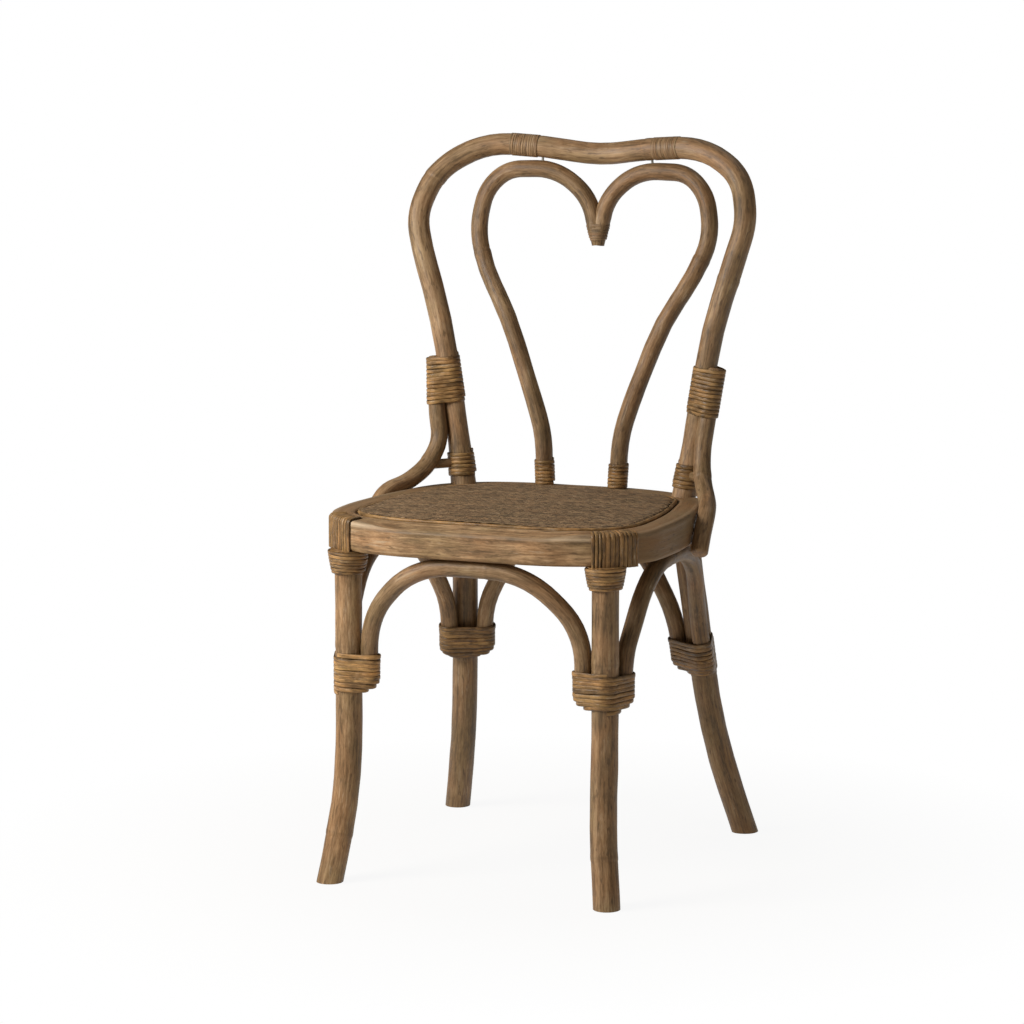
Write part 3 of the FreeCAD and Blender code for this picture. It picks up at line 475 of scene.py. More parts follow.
def cane_material(name, dark, middle, light, wear, roughness=0.5, blotch_scale=16.0, along=0.11, node_ring_and_groove_shade=0.2,
                  gloss=0.5, edge_wear_and_highlight=0.0, contrast=1.0):
    """Weathered cane: streaks along the pole, blotches, dark flecks and rubbed fibres, with darker node
    rings and painted shade in the grooves.
    """
    material, tree, shader = new_material(name)
    even = straight_coordinates(tree, (1.0, 1.0, 1.0))
    flow = straight_coordinates(tree, (1.0, 1.0, along))
    longer = straight_coordinates(tree, (1.0, 1.0, along * 0.28))
    streaks = grain(tree, flow, 360.0, 5.0, 0.68)
    bands = grain(tree, longer, 140.0, 4.0, 0.55)
    blotches = grain(tree, even, blotch_scale, 4.0, 0.6)
    fibres = grain(tree, flow, 1300.0, 3.0, 0.7)
    tone = weighted(tree, ((streaks, 0.5), (bands, 0.42), (blotches, 0.34), (fibres, 0.2)))
    half = 0.155 / contrast
    tone = span(tree, tone, 0.73 - half, 0.73 + half)
    color = ramp(tree, tone, [(0.0, dark), (0.5, middle), (1.0, light)])
    tint = ramp(tree, grain(tree, straight_coordinates(tree, (1.0, 1.0, 0.4)), 34.0, 3.0, 0.5),
                [(0.36, (1.07, 0.97, 0.88)), (0.5, (1.0, 1.0, 1.0)), (0.64, (0.90, 0.95, 0.90))])
    color = blend(tree, 0.8, color, tint, "MULTIPLY")
    short = straight_coordinates(tree, (1.0, 1.0, 0.25))
    flecks = span(tree, grain(tree, short, 250.0, 2.0, 0.5), 0.61, 0.70)
    color = blend(tree, calculate(tree, "MULTIPLY", flecks, 0.6), color, shade(dark, 0.6))
    rub = calculate(tree, "MULTIPLY", span(tree, grain(tree, flow, 240.0, 5.0, 0.7), 0.56, 0.68),
                    span(tree, blotches, 0.44, 0.60))
    color = blend(tree, calculate(tree, "MULTIPLY", rub, 0.65), color, wear)
    # The mark attribute darkens the poles' node rings, which are darker on the cane itself, and the strips'
    # edges and the sheet under the weave, which is painted shade in grooves and gaps.
    darkened_rings_and_groove_shade = calculate(tree, "MULTIPLY", own_attribute(tree, "mark"), node_ring_and_groove_shade)
    color = blend(tree, darkened_rings_and_groove_shade, color, shade(dark, 0.6))
    # Pale outer top edge: partly rubbed wear, partly a painted highlight.
    if edge_wear_and_highlight:
        color = blend(tree, rubbed_and_highlit_edge(tree, bands, edge_wear_and_highlight), color, wear)
    own = own_attribute(tree, "tone")
    spread = tree.nodes.new("ShaderNodeCombineXYZ")
    for socket in spread.inputs:
        tree.links.new(own, socket)
    color = blend(tree, 1.0, color, spread.outputs["Vector"], "MULTIPLY")
    tree.links.new(color, shader.inputs["Base Color"])
    dull = span(tree, streaks, 0.3, 0.7, roughness - 0.1, roughness + 0.14)
    tree.links.new(dull, shader.inputs["Roughness"])
    shader.inputs["Specular IOR Level"].default_value = gloss
    bump(tree, shader, weighted(tree, ((streaks, 0.6), (fibres, 0.4))), 0.0007, 0.8)
    return material


def rubbed_and_highlit_edge(tree, unevenness, strength):
    """Where the rim's outer top edge is rubbed pale, partly wear and partly a painted highlight. Inset and
    depth are both small there.
    """
    split = tree.nodes.new("ShaderNodeSeparateXYZ")
    tree.links.new(own_attribute(tree, "straight", "Vector"), split.inputs["Vector"])
    away = calculate(tree, "SUBTRACT", split.outputs["X"], split.outputs["Y"])
    near = span(tree, away, 0.0084, 0.0112, 1.0, 0.0)
    return calculate(tree, "MULTIPLY", near, span(tree, unevenness, 0.35, 0.65, 0.1, strength))


def plain_wood(name, dark, light):
    material, tree, shader = new_material(name)
    rings = grain(tree, object_coordinates(tree, (0.12, 1.0, 1.0)), 300.0, 4.0, 0.6)
    clouds = grain(tree, object_coordinates(tree, (1.0, 1.0, 1.0)), 14.0, 3.0, 0.5)
    tone = weighted(tree, ((rings, 0.6), (clouds, 0.4)))
    color = ramp(tree, span(tree, tone, 0.3, 0.7), [(0.0, dark), (1.0, light)])
    tree.links.new(color, shader.inputs["Base Color"])
    tree.links.new(span(tree, rings, 0.3, 0.7, 0.6, 0.8), shader.inputs["Roughness"])
    bump(tree, shader, rings, 0.0004, 0.6)
    return material


def dull_steel(name):
    material, tree, shader = new_material(name)
    scratches = grain(tree, object_coordinates(tree, (1.0, 1.0, 1.0)), 900.0, 3.0, 0.6)
    color = ramp(tree, scratches, [(0.3, (0.16, 0.15, 0.13)), (0.7, (0.33, 0.31, 0.27))])
    tree.links.new(color, shader.inputs["Base Color"])
    shader.inputs["Metallic"].default_value = 0.85
    tree.links.new(span(tree, scratches, 0.3, 0.7, 0.32, 0.55), shader.inputs["Roughness"])
    bump(tree, shader, scratches, 0.0002, 0.4)
    return material


materials = {}


def make_materials(settings):
    dark, middle, light, wear, peel, weave = (tuple(color) for color in (
        settings.dark, settings.middle, settings.light, settings.wear, settings.peel, settings.weave))
    materials["pole"] = cane_material("weathered_cane", dark, middle, light, wear, gloss=0.4, contrast=1.25)
    materials["hoop"] = cane_material("pale_cane", shade(dark, 1.1), shade(middle, 1.16),
                                      shade(light, 1.16), wear, contrast=1.2)
    # The rail's and the rim's outer top edges are made pale, partly wear and partly a painted highlight.
    materials["rail"] = cane_material("weathered_rail", shade(dark, 1.1), shade(middle, 1.2),
                                      shade(light, 1.3), wear, roughness=0.58, blotch_scale=26.0, gloss=0.4,
                                      edge_wear_and_highlight=0.9, contrast=1.25)
    materials["rim"] = cane_material("smooth_rim", shade(dark, 1.3), middle, shade(light, 0.82),
                                     shade(wear, 0.7), roughness=0.6, blotch_scale=14.0, along=0.05,
                                     gloss=0.35, edge_wear_and_highlight=0.35, contrast=0.6)
    # The peel and the weave take strong painted shade in the grooves between their strips.
    materials["peel"] = cane_material("cane_peel", shade(peel, 0.36), peel, shade(peel, 1.9), wear,
                                      roughness=0.42, blotch_scale=60.0, along=0.16, node_ring_and_groove_shade=0.85,
                                      gloss=0.36, contrast=1.25)
    materials["weave"] = cane_material("woven_cane", shade(weave, 0.45), weave, shade(weave, 1.6), wear,
                                       roughness=0.62, blotch_scale=75.0, along=0.14, node_ring_and_groove_shade=0.75,
                                       gloss=0.3, contrast=2.0)
    materials["hidden"] = plain_wood("inner_wood", (0.20, 0.13, 0.075), (0.34, 0.235, 0.14))
    materials["steel"] = dull_steel("old_steel")


def finish_pole(bars, node, material="pole"):
    settle(bars.piece("cane_" + node, materials[material]), "cane_pole", node)


def finish_peel(bars, node, material="peel"):
    settle(bars.piece("peel_" + node, materials[material]), "cane_peel", node)


# Windings

def support(circle, angle):
    x, y, radius = circle
    return x * math.cos(angle) + y * math.sin(angle) + radius


def leader(circles, angle):
    return max(circles, key=lambda circle: support(circle, angle))


def hull_place(circles, angle):
    """Where a string pulled tight round the circles touches in a direction, as x and y."""
    x, y, radius = leader(circles, angle)
    return Vector((x + radius * math.cos(angle), y + radius * math.sin(angle)))


def loop_places(circles, start, count=160):
    """Evenly spaced places round the circles' tight outline, with the outward direction of each."""
    fine = 720
    places = [hull_place(circles, start + 2 * math.pi * k / fine) for k in range(fine)]
    ring = []
    for index, place in enumerate(places):
        following = places[(index + 1) % fine]
        pieces = max(1, int((following - place).length / 0.0012))
        ring += [place.lerp(following, k / pieces) for k in range(pieces)]
    marks = [0.0]
    for index in range(len(ring)):
        marks.append(marks[-1] + (ring[(index + 1) % len(ring)] - ring[index]).length)
    even = []
    for step in range(count):
        distance = marks[-1] * step / count
        index = min(bisect.bisect_right(marks, distance) - 1, len(ring) - 1)
        gone = (distance - marks[index]) / max(marks[index + 1] - marks[index], 1e-9)
        even.append(ring[index].lerp(ring[(index + 1) % len(ring)], gone))
    loop = []
    for step in range(count):
        along = even[(step + 1) % count] - even[step - 1]
        loop.append((even[step], Vector((along.y, -along.x)).normalized()))
    return loop


def strip_section(width, thickness, belly=0.35):
    """A flat strip with eased edges and a slightly rounded face, lying with its back on the pole."""
    def section(station, angle):
        side = math.cos(angle)
        out = math.sin(angle)
        side = math.copysign(abs(side) ** 0.55, side)
        out = math.copysign(abs(out) ** 0.75, out)
        bulge = belly * (1 - side * side) if out > 0 else 0.0
        uneven = 1 + 0.10 * noise.noise(Vector((station * 28.0, width * 900.0, 0.5)))
        return side * width / 2 * uneven, thickness * (0.5 * out + 0.5) + bulge * thickness * 0.5
    return section


def groove_shade_edges(station, angle):
    """Marks the two edges of a strip, which lie in the grooves, for painted groove shade."""
    return abs(math.cos(angle)) ** 3


def wind_turns(turns, pitch, rng, count, wobble, tuck=0.0012):
    """Places and outward ways of one winding across its bundle of circles, and the distances along it."""
    start = math.atan2(-sum(circle[1] for circle in turns[-1]), -sum(circle[0] for circle in turns[-1]))
    loops = [loop_places(circles, start, count) for circles in turns]
    shifts = [rng.uniform(-wobble, wobble) for _ in range(len(turns) + 2)]
    places = []
    total = len(turns) * count
    for step in range(total + 1):
        turn = min(step // count, len(turns) - 1)
        inside = step - turn * count
        gone = inside / count
        here, out = loops[turn][inside % count]
        if turn + 1 < len(turns):
            further, further_out = loops[turn + 1][inside % count]
            here = here.lerp(further, gone * gone)
            out = out.lerp(further_out, gone * gone).normalized()
        shift = shifts[turn] * (1 - gone) + shifts[turn + 1] * gone
        ends = min(step, total - step) / (0.12 * count)
        sink = tuck * (1 - min(1.0, ends))
        around = Vector((math.cos(2 * math.pi * gone) * 0.9, math.sin(2 * math.pi * gone) * 0.9,
                         (turn + gone) * 0.55 + shifts[-1] * 9e4))
        slant = 2.0 * wobble * noise.noise(around)
        along = pitch * (turn + gone) + shift + slant
        places.append((here - out * sink, out, along))
    return places


def add_winding(bars, turns, pitch, width, thickness, seat, count=72, wobble=0.0003, lift=0.0001):
    """One strip wound turn beside turn round a bundle of circles. The seat places it along the pole."""
    rng = bars.random
    placed = []
    for local, out, along in wind_turns(turns, pitch, rng, count, wobble):
        base, x_way, y_way, z_way = seat(along)
        normal = x_way * out.x + y_way * out.y
        placed.append((base + x_way * local.x + y_way * local.y + normal * lift, normal, z_way))
    stations = [0.0]
    for index in range(1, len(placed)):
        stations.append(stations[-1] + (placed[index][0] - placed[index - 1][0]).length)
    frames = []
    tilt_seed = rng.uniform(0, 90)
    for index, (place, normal, z_way) in enumerate(placed):
        low = placed[max(index - 1, 0)][0]
        high = placed[min(index + 1, len(placed) - 1)][0]
        way = (high - low).normalized()
        across = normal.cross(way).normalized()
        tilt = 0.10 * noise.noise(Vector((stations[index] * 18.0, tilt_seed, 0.5)))
        turned = Quaternion(way, tilt)
        frames.append((place, turned @ across, turned @ normal, way))
    bars.add(frames, stations, strip_section(width, thickness), 10, True, groove_shade_edges)


def straight_seat(base, axis, toward):
    """Local axes on a straight pole: Z along it and X toward a neighbour."""
    z_way = axis.normalized()
    x_way = (toward - z_way * toward.dot(z_way)).normalized()
    y_way = z_way.cross(x_way)
    return lambda along: (base + z_way * along, x_way, y_way, z_way)


def bent_seat(path, start, toward):
    """Local axes that follow a bent pole."""
    def seat(along):
        distance = start + along
        z_way = path.way(distance)
        x_way = (toward - z_way * toward.dot(z_way)).normalized()
        return path.at(distance), x_way, z_way.cross(x_way), z_way
    return seat


# Poles

def flared(length, low, high, run):
    """Thicker at both ends, over the run's length."""
    def radius(share):
        gone = min(share, 1 - share) * length
        return high + (low - high) * max(0.0, 1 - gone / run)
    return radius


def make_legs(settings):
    for index, (name, flip) in enumerate(SIDES):
        front = Bars(11 + index, flip)
        points = extended([chair_point(*point) for point in FRONT_LEG], 0.0, 0.03)
        add_pole(front, points, steady(settings.leg_radius), 3.0 + index, nodes=(0.118, 0.352))
        cut_level(front.bm, 0.0, True)
        finish_pole(front, "front_leg_" + name)
        rear = Bars(21 + index, flip)
        points = extended([chair_point(*point) for point in REAR_LEG], 0.02, 0.03)
        add_pole(rear, points, steady(settings.leg_radius), 7.0 + index, nodes=(0.215,))
        cut_level(rear.bm, 0.0, True)
        cut_level(rear.bm, RIM_LOW * MM, False)
        finish_pole(rear, "rear_leg_" + name)


def hoop_points():
    right = [chair_point(*point) for point in HOOP]
    return right + [chair_point(*HOOP_MIDDLE)] + [mirrored(point) for point in reversed(right)]


def hoop_path():
    return Path(rounded_path(hoop_points()))


def heart_path():
    return Path(rounded_path([chair_point(*point) for point in HEART]))


def make_hoop(settings):
    bars = Bars(31)
    points = extended(hoop_points(), 0.02, 0.02)
    length = Path(rounded_path(points)).length
    radius = flared(length, settings.hoop_foot_radius, settings.hoop_radius, 0.085)
    add_pole(bars, points, radius, 12.0, nodes=(0.30, 0.585, 0.885, 1.13))
    cut_level(bars.bm, SEAT_TOP * MM, True)
    finish_pole(bars, "back_hoop", "hoop")


def pared_radius(settings, rise):
    """Radius of the heart's pared point, at a height over its tip."""
    share = max(0.0, rise / settings.point_taper)
    return settings.point_tip_radius + share * (settings.point_root_radius - settings.point_tip_radius)


def pare_point(bm, settings):
    """Pares the heart's point to a cone."""
    tip = chair_point(*HEART[-1])
    for vert in bm.verts:
        rise = vert.co.z - tip.z
        out = Vector((vert.co.x, vert.co.y - tip.y))
        if rise > settings.point_taper or out.length > 0.035:
            continue
        limit = pared_radius(settings, rise)
        if out.length > limit:
            out *= limit / out.length
            vert.co.x = out.x
            vert.co.y = tip.y + out.y


def make_heart(settings):
    for index, (name, flip) in enumerate(SIDES):
        bars = Bars(41 + index)
        points = extended([chair_point(*point) for point in HEART], 0.015, 0.0)
        add_pole(bars, points, steady(settings.thin_radius), 20.0 + index * 5, nodes=(0.33, 0.61), sides=26)
        cut_level(bars.bm, SEAT_TOP * MM, True)
        cut_plane(bars.bm, (POLE_GAP / 2, 0, 0), (1, 0, 0))
        pare_point(bars.bm, settings)
        if flip:
            bars.mirror()
        finish_pole(bars, "heart_lobe_" + name)


# Braces

def pole_axis(table, first, last):
    """The straight run between two points of a table, as its low end and its way up."""
    high, low = (chair_point(*table[k]) for k in (first, last))
    return low, (high - low).normalized()


def on_axis(axis, height):
    base, way = axis
    return base + way * ((height - base.z) / way.z)


def beside_pole(axis, bearing, gap):
    way = axis[1]
    flat = Vector((math.cos(bearing), math.sin(bearing), 0.0))
    return (flat - way * flat.dot(way)).normalized() * gap


def hoop_straight():
    return pole_axis(HOOP, 2, 1)


def hoop_centre(rise):
    return on_axis(hoop_straight(), SEAT_TOP * MM + rise)


def brace_offset(settings, rise):
    """From the hoop's centre to the brace's, at a height over the seat. The brace's top sinks into it."""
    gap = settings.hoop_radius + settings.thin_radius + POLE_GAP
    low = beside_pole(hoop_straight(), settings.brace_bearing, gap)
    high = beside_pole(hoop_straight(), settings.brace_top_bearing, gap) * BRACE_SINK
    return low.lerp(high, (rise - BRACE_LOW) / (BRACE_HIGH - BRACE_LOW))


def rim_edge_x(path, y):
    """Where the outline crosses a line of constant y, on its right side."""
    for low, high in zip(path.places, path.places[1:]):
        if min(low.y, high.y) <= y <= max(low.y, high.y) and low.x > 0.15 and low.y != high.y:
            return low.x + (high.x - low.x) * (y - low.y) / (high.y - low.y)
    raise ValueError("no edge there")


def brace_points(settings):
    top_rise = BRACE_HIGH - 0.0045
    top = hoop_centre(top_rise) + brace_offset(settings, top_rise)
    low = hoop_centre(BRACE_LOW) + brace_offset(settings, BRACE_LOW)
    points = [top, low]
    points += [Vector((low.x + out, low.y - forward, height)) for out, forward, height in BRACE_FREE]
    outline = rim_path(0.0)
    for forward, out, rise in BRACE_BESIDE:
        y = low.y - forward * MM
        points.append(Vector((rim_edge_x(outline, y) + out * MM, y, (SEAT_TOP + rise) * MM)))
    return points


def make_braces(settings):
    hoop = hoop_path()
    for index, (name, flip) in enumerate(SIDES):
        bars = Bars(51 + index, flip)
        path = add_pole(bars, brace_points(settings), steady(settings.thin_radius), 30.0 + index * 4,
                        end_round=0.004, sides=26, nodes=(0.14,))
        finish_pole(bars, "side_brace_" + name)
        pegs = Bars(61 + index, flip)
        height = (SEAT_TOP + 27.0) * MM
        start = hoop.at(hoop.height_mark(height))
        end = path.at(path.height_mark(height))
        way = (end - start).normalized()
        points = [start + way * 0.014, end - way * 0.008]
        add_pole(pegs, points, steady(settings.peg_radius), 40.0, sides=18)
        finish_pole(pegs, "brace_peg_" + name)


# Arches

def arch_end(settings, axis, bearing, foot, rise):
    """The arch's end and its shoulder, both beside the leg, over the foot of the leg's winding."""
    offset = beside_pole(axis, bearing, settings.leg_radius + settings.thin_radius + POLE_GAP)
    return [on_axis(axis, foot + 0.012) + offset, on_axis(axis, foot + rise) + offset]


def arch_paths(settings):
    front = pole_axis(FRONT_LEG, 0, 1)
    rear = pole_axis(REAR_LEG, 1, 2)
    front_foot, rear_foot = settings.front_binding_height, settings.rear_binding_height
    top = 0.3987
    right = arch_end(settings, front, math.pi, front_foot, 0.097)
    right.append(Vector((0.072, right[0].y - 0.018, top)))
    paths = {"front_arch": right + [mirrored(point) for point in reversed(right)]}
    right = arch_end(settings, rear, math.pi, rear_foot, 0.074)
    right.append(chair_point(72.0, 155.5, top / MM))
    paths["rear_arch"] = right + [mirrored(point) for point in reversed(right)]
    low = arch_end(settings, front, settings.side_bearing_front, front_foot, 0.063)
    high = arch_end(settings, rear, settings.side_bearing_rear, rear_foot, 0.077)
    flats = [chair_point(189.5, -98.0, top / MM), chair_point(189.5, 52.0, top / MM)]
    paths["side_arch"] = low + flats + high[::-1]
    return paths


def make_arches(settings):
    for index, (name, points) in enumerate(arch_paths(settings).items()):
        sides = (("_right", False), ("_left", True)) if name == "side_arch" else (("", False),)
        for part, (side, flip) in enumerate(sides):
            bars = Bars(71 + index * 3 + part, flip)
            add_pole(bars, points, steady(settings.thin_radius), 50.0 + index * 7 + part * 3,
                     end_round=0.004, sides=26, nodes=(0.22 + 0.03 * part,))
            finish_pole(bars, name + side)


# Seat rim and woven seat

def rim_reaches():
    points = [Vector((x, y)) for x, y in RIM_OUTLINE]
    ring = points + [Vector((-point.x, point.y)) for point in reversed(points)]
    count = len(ring)
    shares = RIM_ROUND_SHARES + RIM_ROUND_SHARES[::-1]
    reaches = [shares[k] * min((ring[k] - ring[k - 1]).length, (ring[(k + 1) % count] - ring[k]).length)
               for k in range(count)]
    return [reach * MM for reach in reaches]


def rim_path(inset, height=SEAT_TOP):
    """Once round the outline from the middle of the front, counterclockwise, moved in by the inset."""
    right = [chair_point(x, y, height) for x, y in RIM_OUTLINE]
    middle = chair_point(0.0, RIM_OUTLINE[0][1], height)
    points = [middle] + right + [mirrored(point) for point in reversed(right)] + [middle.copy()]
    path = Path(rounded_path(points, 10.0, [None] + rim_reaches() + [None], 0.05))
    if not inset:
        return path
    return Path([place + rim_inward(path, mark) * inset for place, mark in zip(path.places, path.marks)])


def rim_inward(path, mark):
    low = max(mark - 0.001, 0.0)
    high = min(mark + 0.001, path.length)
    way = (path.at(high) - path.at(low)).normalized()
    return Vector((-way.y, way.x, 0.0))


def rim_frame(path, mark):
    return path.at(mark), rim_inward(path, mark), Vector((0, 0, 1)), path.way(mark)


def front_corner():
    """Centre and radius of the right front corner's arc."""
    points = [Vector((x, y)) for x, y in RIM_OUTLINE[:3]]
    back = points[0] - points[1]
    ahead = points[2] - points[1]
    reach = RIM_ROUND_SHARES[1] * min(back.length, ahead.length)
    half = back.angle(ahead) / 2
    middle = (back.normalized() + ahead.normalized()).normalized()
    centre = points[1] + middle * (reach / math.cos(half))
    return chair_point(centre.x, centre.y, SEAT_TOP), reach * math.tan(half) * MM


def rim_profile(settings, count=44):
    """Points round the band's section, as inset and height over the rim's top."""
    width, height = settings.rim_band, settings.rim_height
    rounds = ((0.0, 0.0, settings.rim_edge_round), (width, 0.0, 0.003), (width, -height, 0.002),
              (0.0, -height, settings.rim_bottom_round))
    ring = []
    for index, (x, y, radius) in enumerate(rounds):
        inward = Vector((1 if x == 0 else -1, -1 if y == 0 else 1))
        centre = Vector((x, y)) + inward * radius
        first = (math.pi, QUARTER, 0.0, -QUARTER)[index]
        for step in range(7):
            angle = first - QUARTER * step / 6
            ring.append(centre + Vector((math.cos(angle), math.sin(angle))) * radius)
    outline = Path([point.to_3d() for point in ring + [ring[0]]])
    even = [outline.at(outline.length * k / count) for k in range(count)]
    return [(point.x, point.y) for point in even]


def top_fall(settings, station, length, joint):
    """How far the top's outer edge lies under the top: most along the front, none at the hoop."""
    away = min(station % length, -station % length)
    front = 1 - smooth_step((away - joint + 0.115) / 0.075)
    side = 1 - smooth_step((away - joint) / 0.10)
    return settings.corner_fall * side + (settings.rim_fall - settings.corner_fall) * front


def smooth_step(share):
    share = min(1.0, max(0.0, share))
    return share * share * (3 - 2 * share)


def rim_section(settings, profile, length, joint, seed):
    count = len(profile)

    def section(station, angle):
        inset, height = profile[round(angle / (2 * math.pi) * count) % count]
        outward = max(0.0, 1 - inset / settings.rim_band) ** 1.15
        fall = top_fall(settings, station, length, joint) * outward
        height -= fall * max(0.0, 1 + height / (settings.rim_height / 2))
        place = Vector((inset * 60.0, height * 60.0, station * 9.0 + seed))
        uneven = 0.00035 * noise.noise(place) + 0.0002 * noise.noise(place * 3.0)
        return inset + uneven, height + uneven
    return section


def add_rim(bars, settings, path, joint, first, last):
    """Sweeps the band from one distance to another along the outline."""
    count = max(4, round((last - first) / 0.005))
    stations = [first + (last - first) * k / count for k in range(count + 1)]
    frames = [rim_frame(path, station % path.length) for station in stations]
    profile = rim_profile(settings)
    bars.add(frames, stations, rim_section(settings, profile, path.length, joint, 5.0), len(profile))


def joint_mark(path, angle):
    """The distance along the outline at which a corner's angle lies."""
    centre, radius = front_corner()
    target = centre + Vector((math.cos(angle), math.sin(angle), 0.0)) * radius
    gaps = [((place - target).length, mark) for place, mark in zip(path.places, path.marks)]
    return min(gaps)[1]


def make_rim(settings):
    path = rim_path(0.0)
    joint = joint_mark(path, settings.rail_joint)
    sharp = math.radians(60)
    side = Bars(91)
    add_rim(side, settings, path, joint, joint + 0.0001, path.length - joint - 0.0001)
    settle(side.piece("bent_seat_rim", materials["rim"], sharp), "seat_rim", "seat_rim")
    front = Bars(92)
    add_rim(front, settings, path, joint, -joint, joint)
    settle(front.piece("bent_front_rail", materials["rail"], sharp), "seat_rim", "seat_front_rail")


def make_straps(settings):
    centre, radius = front_corner()
    for index, (name, flip) in enumerate(SIDES):
        bars = Bars(101 + index, flip)
        rng = random.Random(201 + index)
        shares = [rng.uniform(0.75, 1.3) for _ in range(settings.strap_count)]
        spread = settings.strap_step * settings.strap_count
        gone = 0.0
        for share in shares:
            width = spread * share / sum(shares)
            add_strap(bars, settings, centre, radius, settings.strap_start + gone + width / 2, width, rng)
            gone += width
        finish_peel(bars, "corner_straps_" + name)


def add_strap(bars, settings, centre, radius, middle, spread, rng):
    """One strip over the rim, from its lower edge outside to a hidden end inside."""
    lift = 0.0001 + rng.uniform(0.0, 0.0006)
    outer = radius + lift
    tuck = rng.uniform(0.013, 0.017)
    low = RIM_LOW * MM
    edge = SEAT_TOP * MM + lift - settings.corner_fall
    high = edge + settings.corner_fall * tuck / settings.rim_band
    slant = rng.uniform(-0.010, 0.010)
    bend = rng.uniform(-0.007, 0.007)
    corners = [(outer, low - 0.0012), (outer, (low + edge) / 2), (outer, edge), (radius - tuck, high),
               (radius - tuck - 0.003, high - 0.004)]
    angles = [middle + slant * 0.6, middle + bend, middle - slant * 0.3, middle - slant * 0.5,
              middle - slant * 0.5]
    points = []
    for (reach, height), angle in zip(corners, angles):
        x, y = centre.x + reach * math.cos(angle), centre.y + reach * math.sin(angle)
        points.append(Vector((x, y, height)))
    reaches = [None, 0.006, settings.rim_edge_round, 0.003, None]
    path = Path(rounded_path(points, 0.48, reaches))
    stations = pole_stations(path.length, 0.0025, 0.0)
    frames = []
    tangent = Vector((-math.sin(middle), math.cos(middle), 0.0))
    for station in stations:
        way = path.way(station)
        side = (tangent - way * tangent.dot(way)).normalized()
        frames.append((path.at(station), side, side.cross(way), way))
    width = spread * (radius + 0.001) * rng.uniform(1.0, 1.1)
    section = strip_section(width, settings.peel_thickness * 1.15, 0.9)
    bars.add(frames, stations, section, 12, True, groove_shade_edges)


def make_bead(settings):
    path = rim_path(settings.bead_inset, SEAT_TOP - 0.2)
    bars = Bars(111)
    count = round(path.length / 0.005)
    stations = [path.length * k / count for k in range(count + 1)]
    frames = [rim_frame(path, station) for station in stations]
    section = cane_section(steady(settings.bead_radius), path.length, 0.0, (), 60.0, 0.00008)
    bars.add(frames, stations, section, 12, False)
    bmesh.ops.remove_doubles(bars.bm, verts=bars.bm.verts[:], dist=0.0002)
    settle(bars.piece("round_seat_bead", materials["peel"]), "cane_peel", "seat_bead")


def crossings(path, axis, value):
    """The lowest and highest place where a line of constant x (axis 0) or y (axis 1) meets the outline."""
    found = []
    for low, high in zip(path.places, path.places[1:]):
        if (low[axis] - value) * (high[axis] - value) <= 0 and low[axis] != high[axis]:
            share = (value - low[axis]) / (high[axis] - low[axis])
            found.append((low.lerp(high, share))[1 - axis])
    return (min(found), max(found)) if len(found) > 1 else None


def crown_height(settings, x, y):
    """The woven sheet's height: a shallow dome over the seat's middle."""
    out = (x / 0.180) ** 2 + ((y + 0.030) / 0.168) ** 2
    return (SEAT_TOP + 1.2) * MM + settings.crown * max(0.0, 1 - 0.82 * out)


def goes_over(column, row):
    """Whether the strip that runs across the seat lies over the one that runs to the back."""
    return (column + 2 * row + row // 3) % 4 != 0


def weave_pitches(settings):
    """From one strip to the next, for those that run to the back and those that run across."""
    return settings.weave_pitch * 1.2, settings.weave_pitch


def add_strand(bars, settings, axis, index, low, high, rng):
    """One woven strip: across the seat (axis 1) over three and under one, or to the back (axis 0)."""
    pitches = weave_pitches(settings)
    ahead = pitches[1 - axis]
    value = index * pitches[axis]
    count = max(6, round((high - low) / (ahead / 2)))
    stations = [(high - low) * k / count for k in range(count + 1)]
    drift = rng.uniform(-0.0004, 0.0004)
    centres = []
    for station in stations:
        along = low + station
        cell = math.floor(along / ahead)
        share = along / ahead - cell
        ease = smooth_step(share)
        heights = []
        for crossing in (cell, cell + 1):
            over = goes_over(crossing, index) if axis == 1 else not goes_over(index, crossing)
            heights.append(1.0 if over else -1.0)
        wave = heights[0] + (heights[1] - heights[0]) * ease
        edge = min(station, high - low - station)
        drop = 0.0030 * max(0.0, 1 - edge / 0.0045) ** 2
        side = value + drift
        x, y = (along, side) if axis == 1 else (side, along)
        height = crown_height(settings, x, y) + settings.weave_rise * wave - drop
        centres.append(Vector((x, y, height)))
    placed = []
    for k, place in enumerate(centres):
        way = (centres[min(k + 1, count)] - centres[max(k - 1, 0)]).normalized()
        side = Vector((0, 1, 0)) if axis == 1 else Vector((-1, 0, 0))
        side = (side - way * side.dot(way)).normalized()
        placed.append((place, side, way.cross(side), way))
    width = pitches[axis] * rng.uniform(1.0, 1.12)
    section = strip_section(width, settings.weave_rise * 1.6, 0.6)
    bars.add(placed, stations, section, 6, True, groove_shade_edges)


def add_gap_shade_sheet(settings, bars, path):
    """An inner sheet under the weave, a shallow dome that closes the gaps, darkened as painted shade in
    them.
    """
    sheet = bmesh.new()
    bmesh.ops.create_grid(sheet, x_segments=60, y_segments=60, size=0.19)
    straight = sheet.verts.layers.float_vector.new("straight")
    mark = sheet.verts.layers.float.new("mark")
    tone = sheet.verts.layers.float.new("tone")
    outside = []
    for vert in sheet.verts:
        ends = crossings(path, 0, vert.co.x)
        if not ends or not ends[0] < vert.co.y < ends[1]:
            outside.append(vert)
            continue
        vert.co.z = crown_height(settings, vert.co.x, vert.co.y) - 0.0014
        vert[straight] = Vector((vert.co.y, 0.0, vert.co.x))
        # Painted shade: the sheet is darkened where it shows through the gaps between strips.
        vert[mark] = 0.8
        vert[tone] = 1.0
    bmesh.ops.delete(sheet, geom=outside, context="VERTS")
    bars.take(sheet)


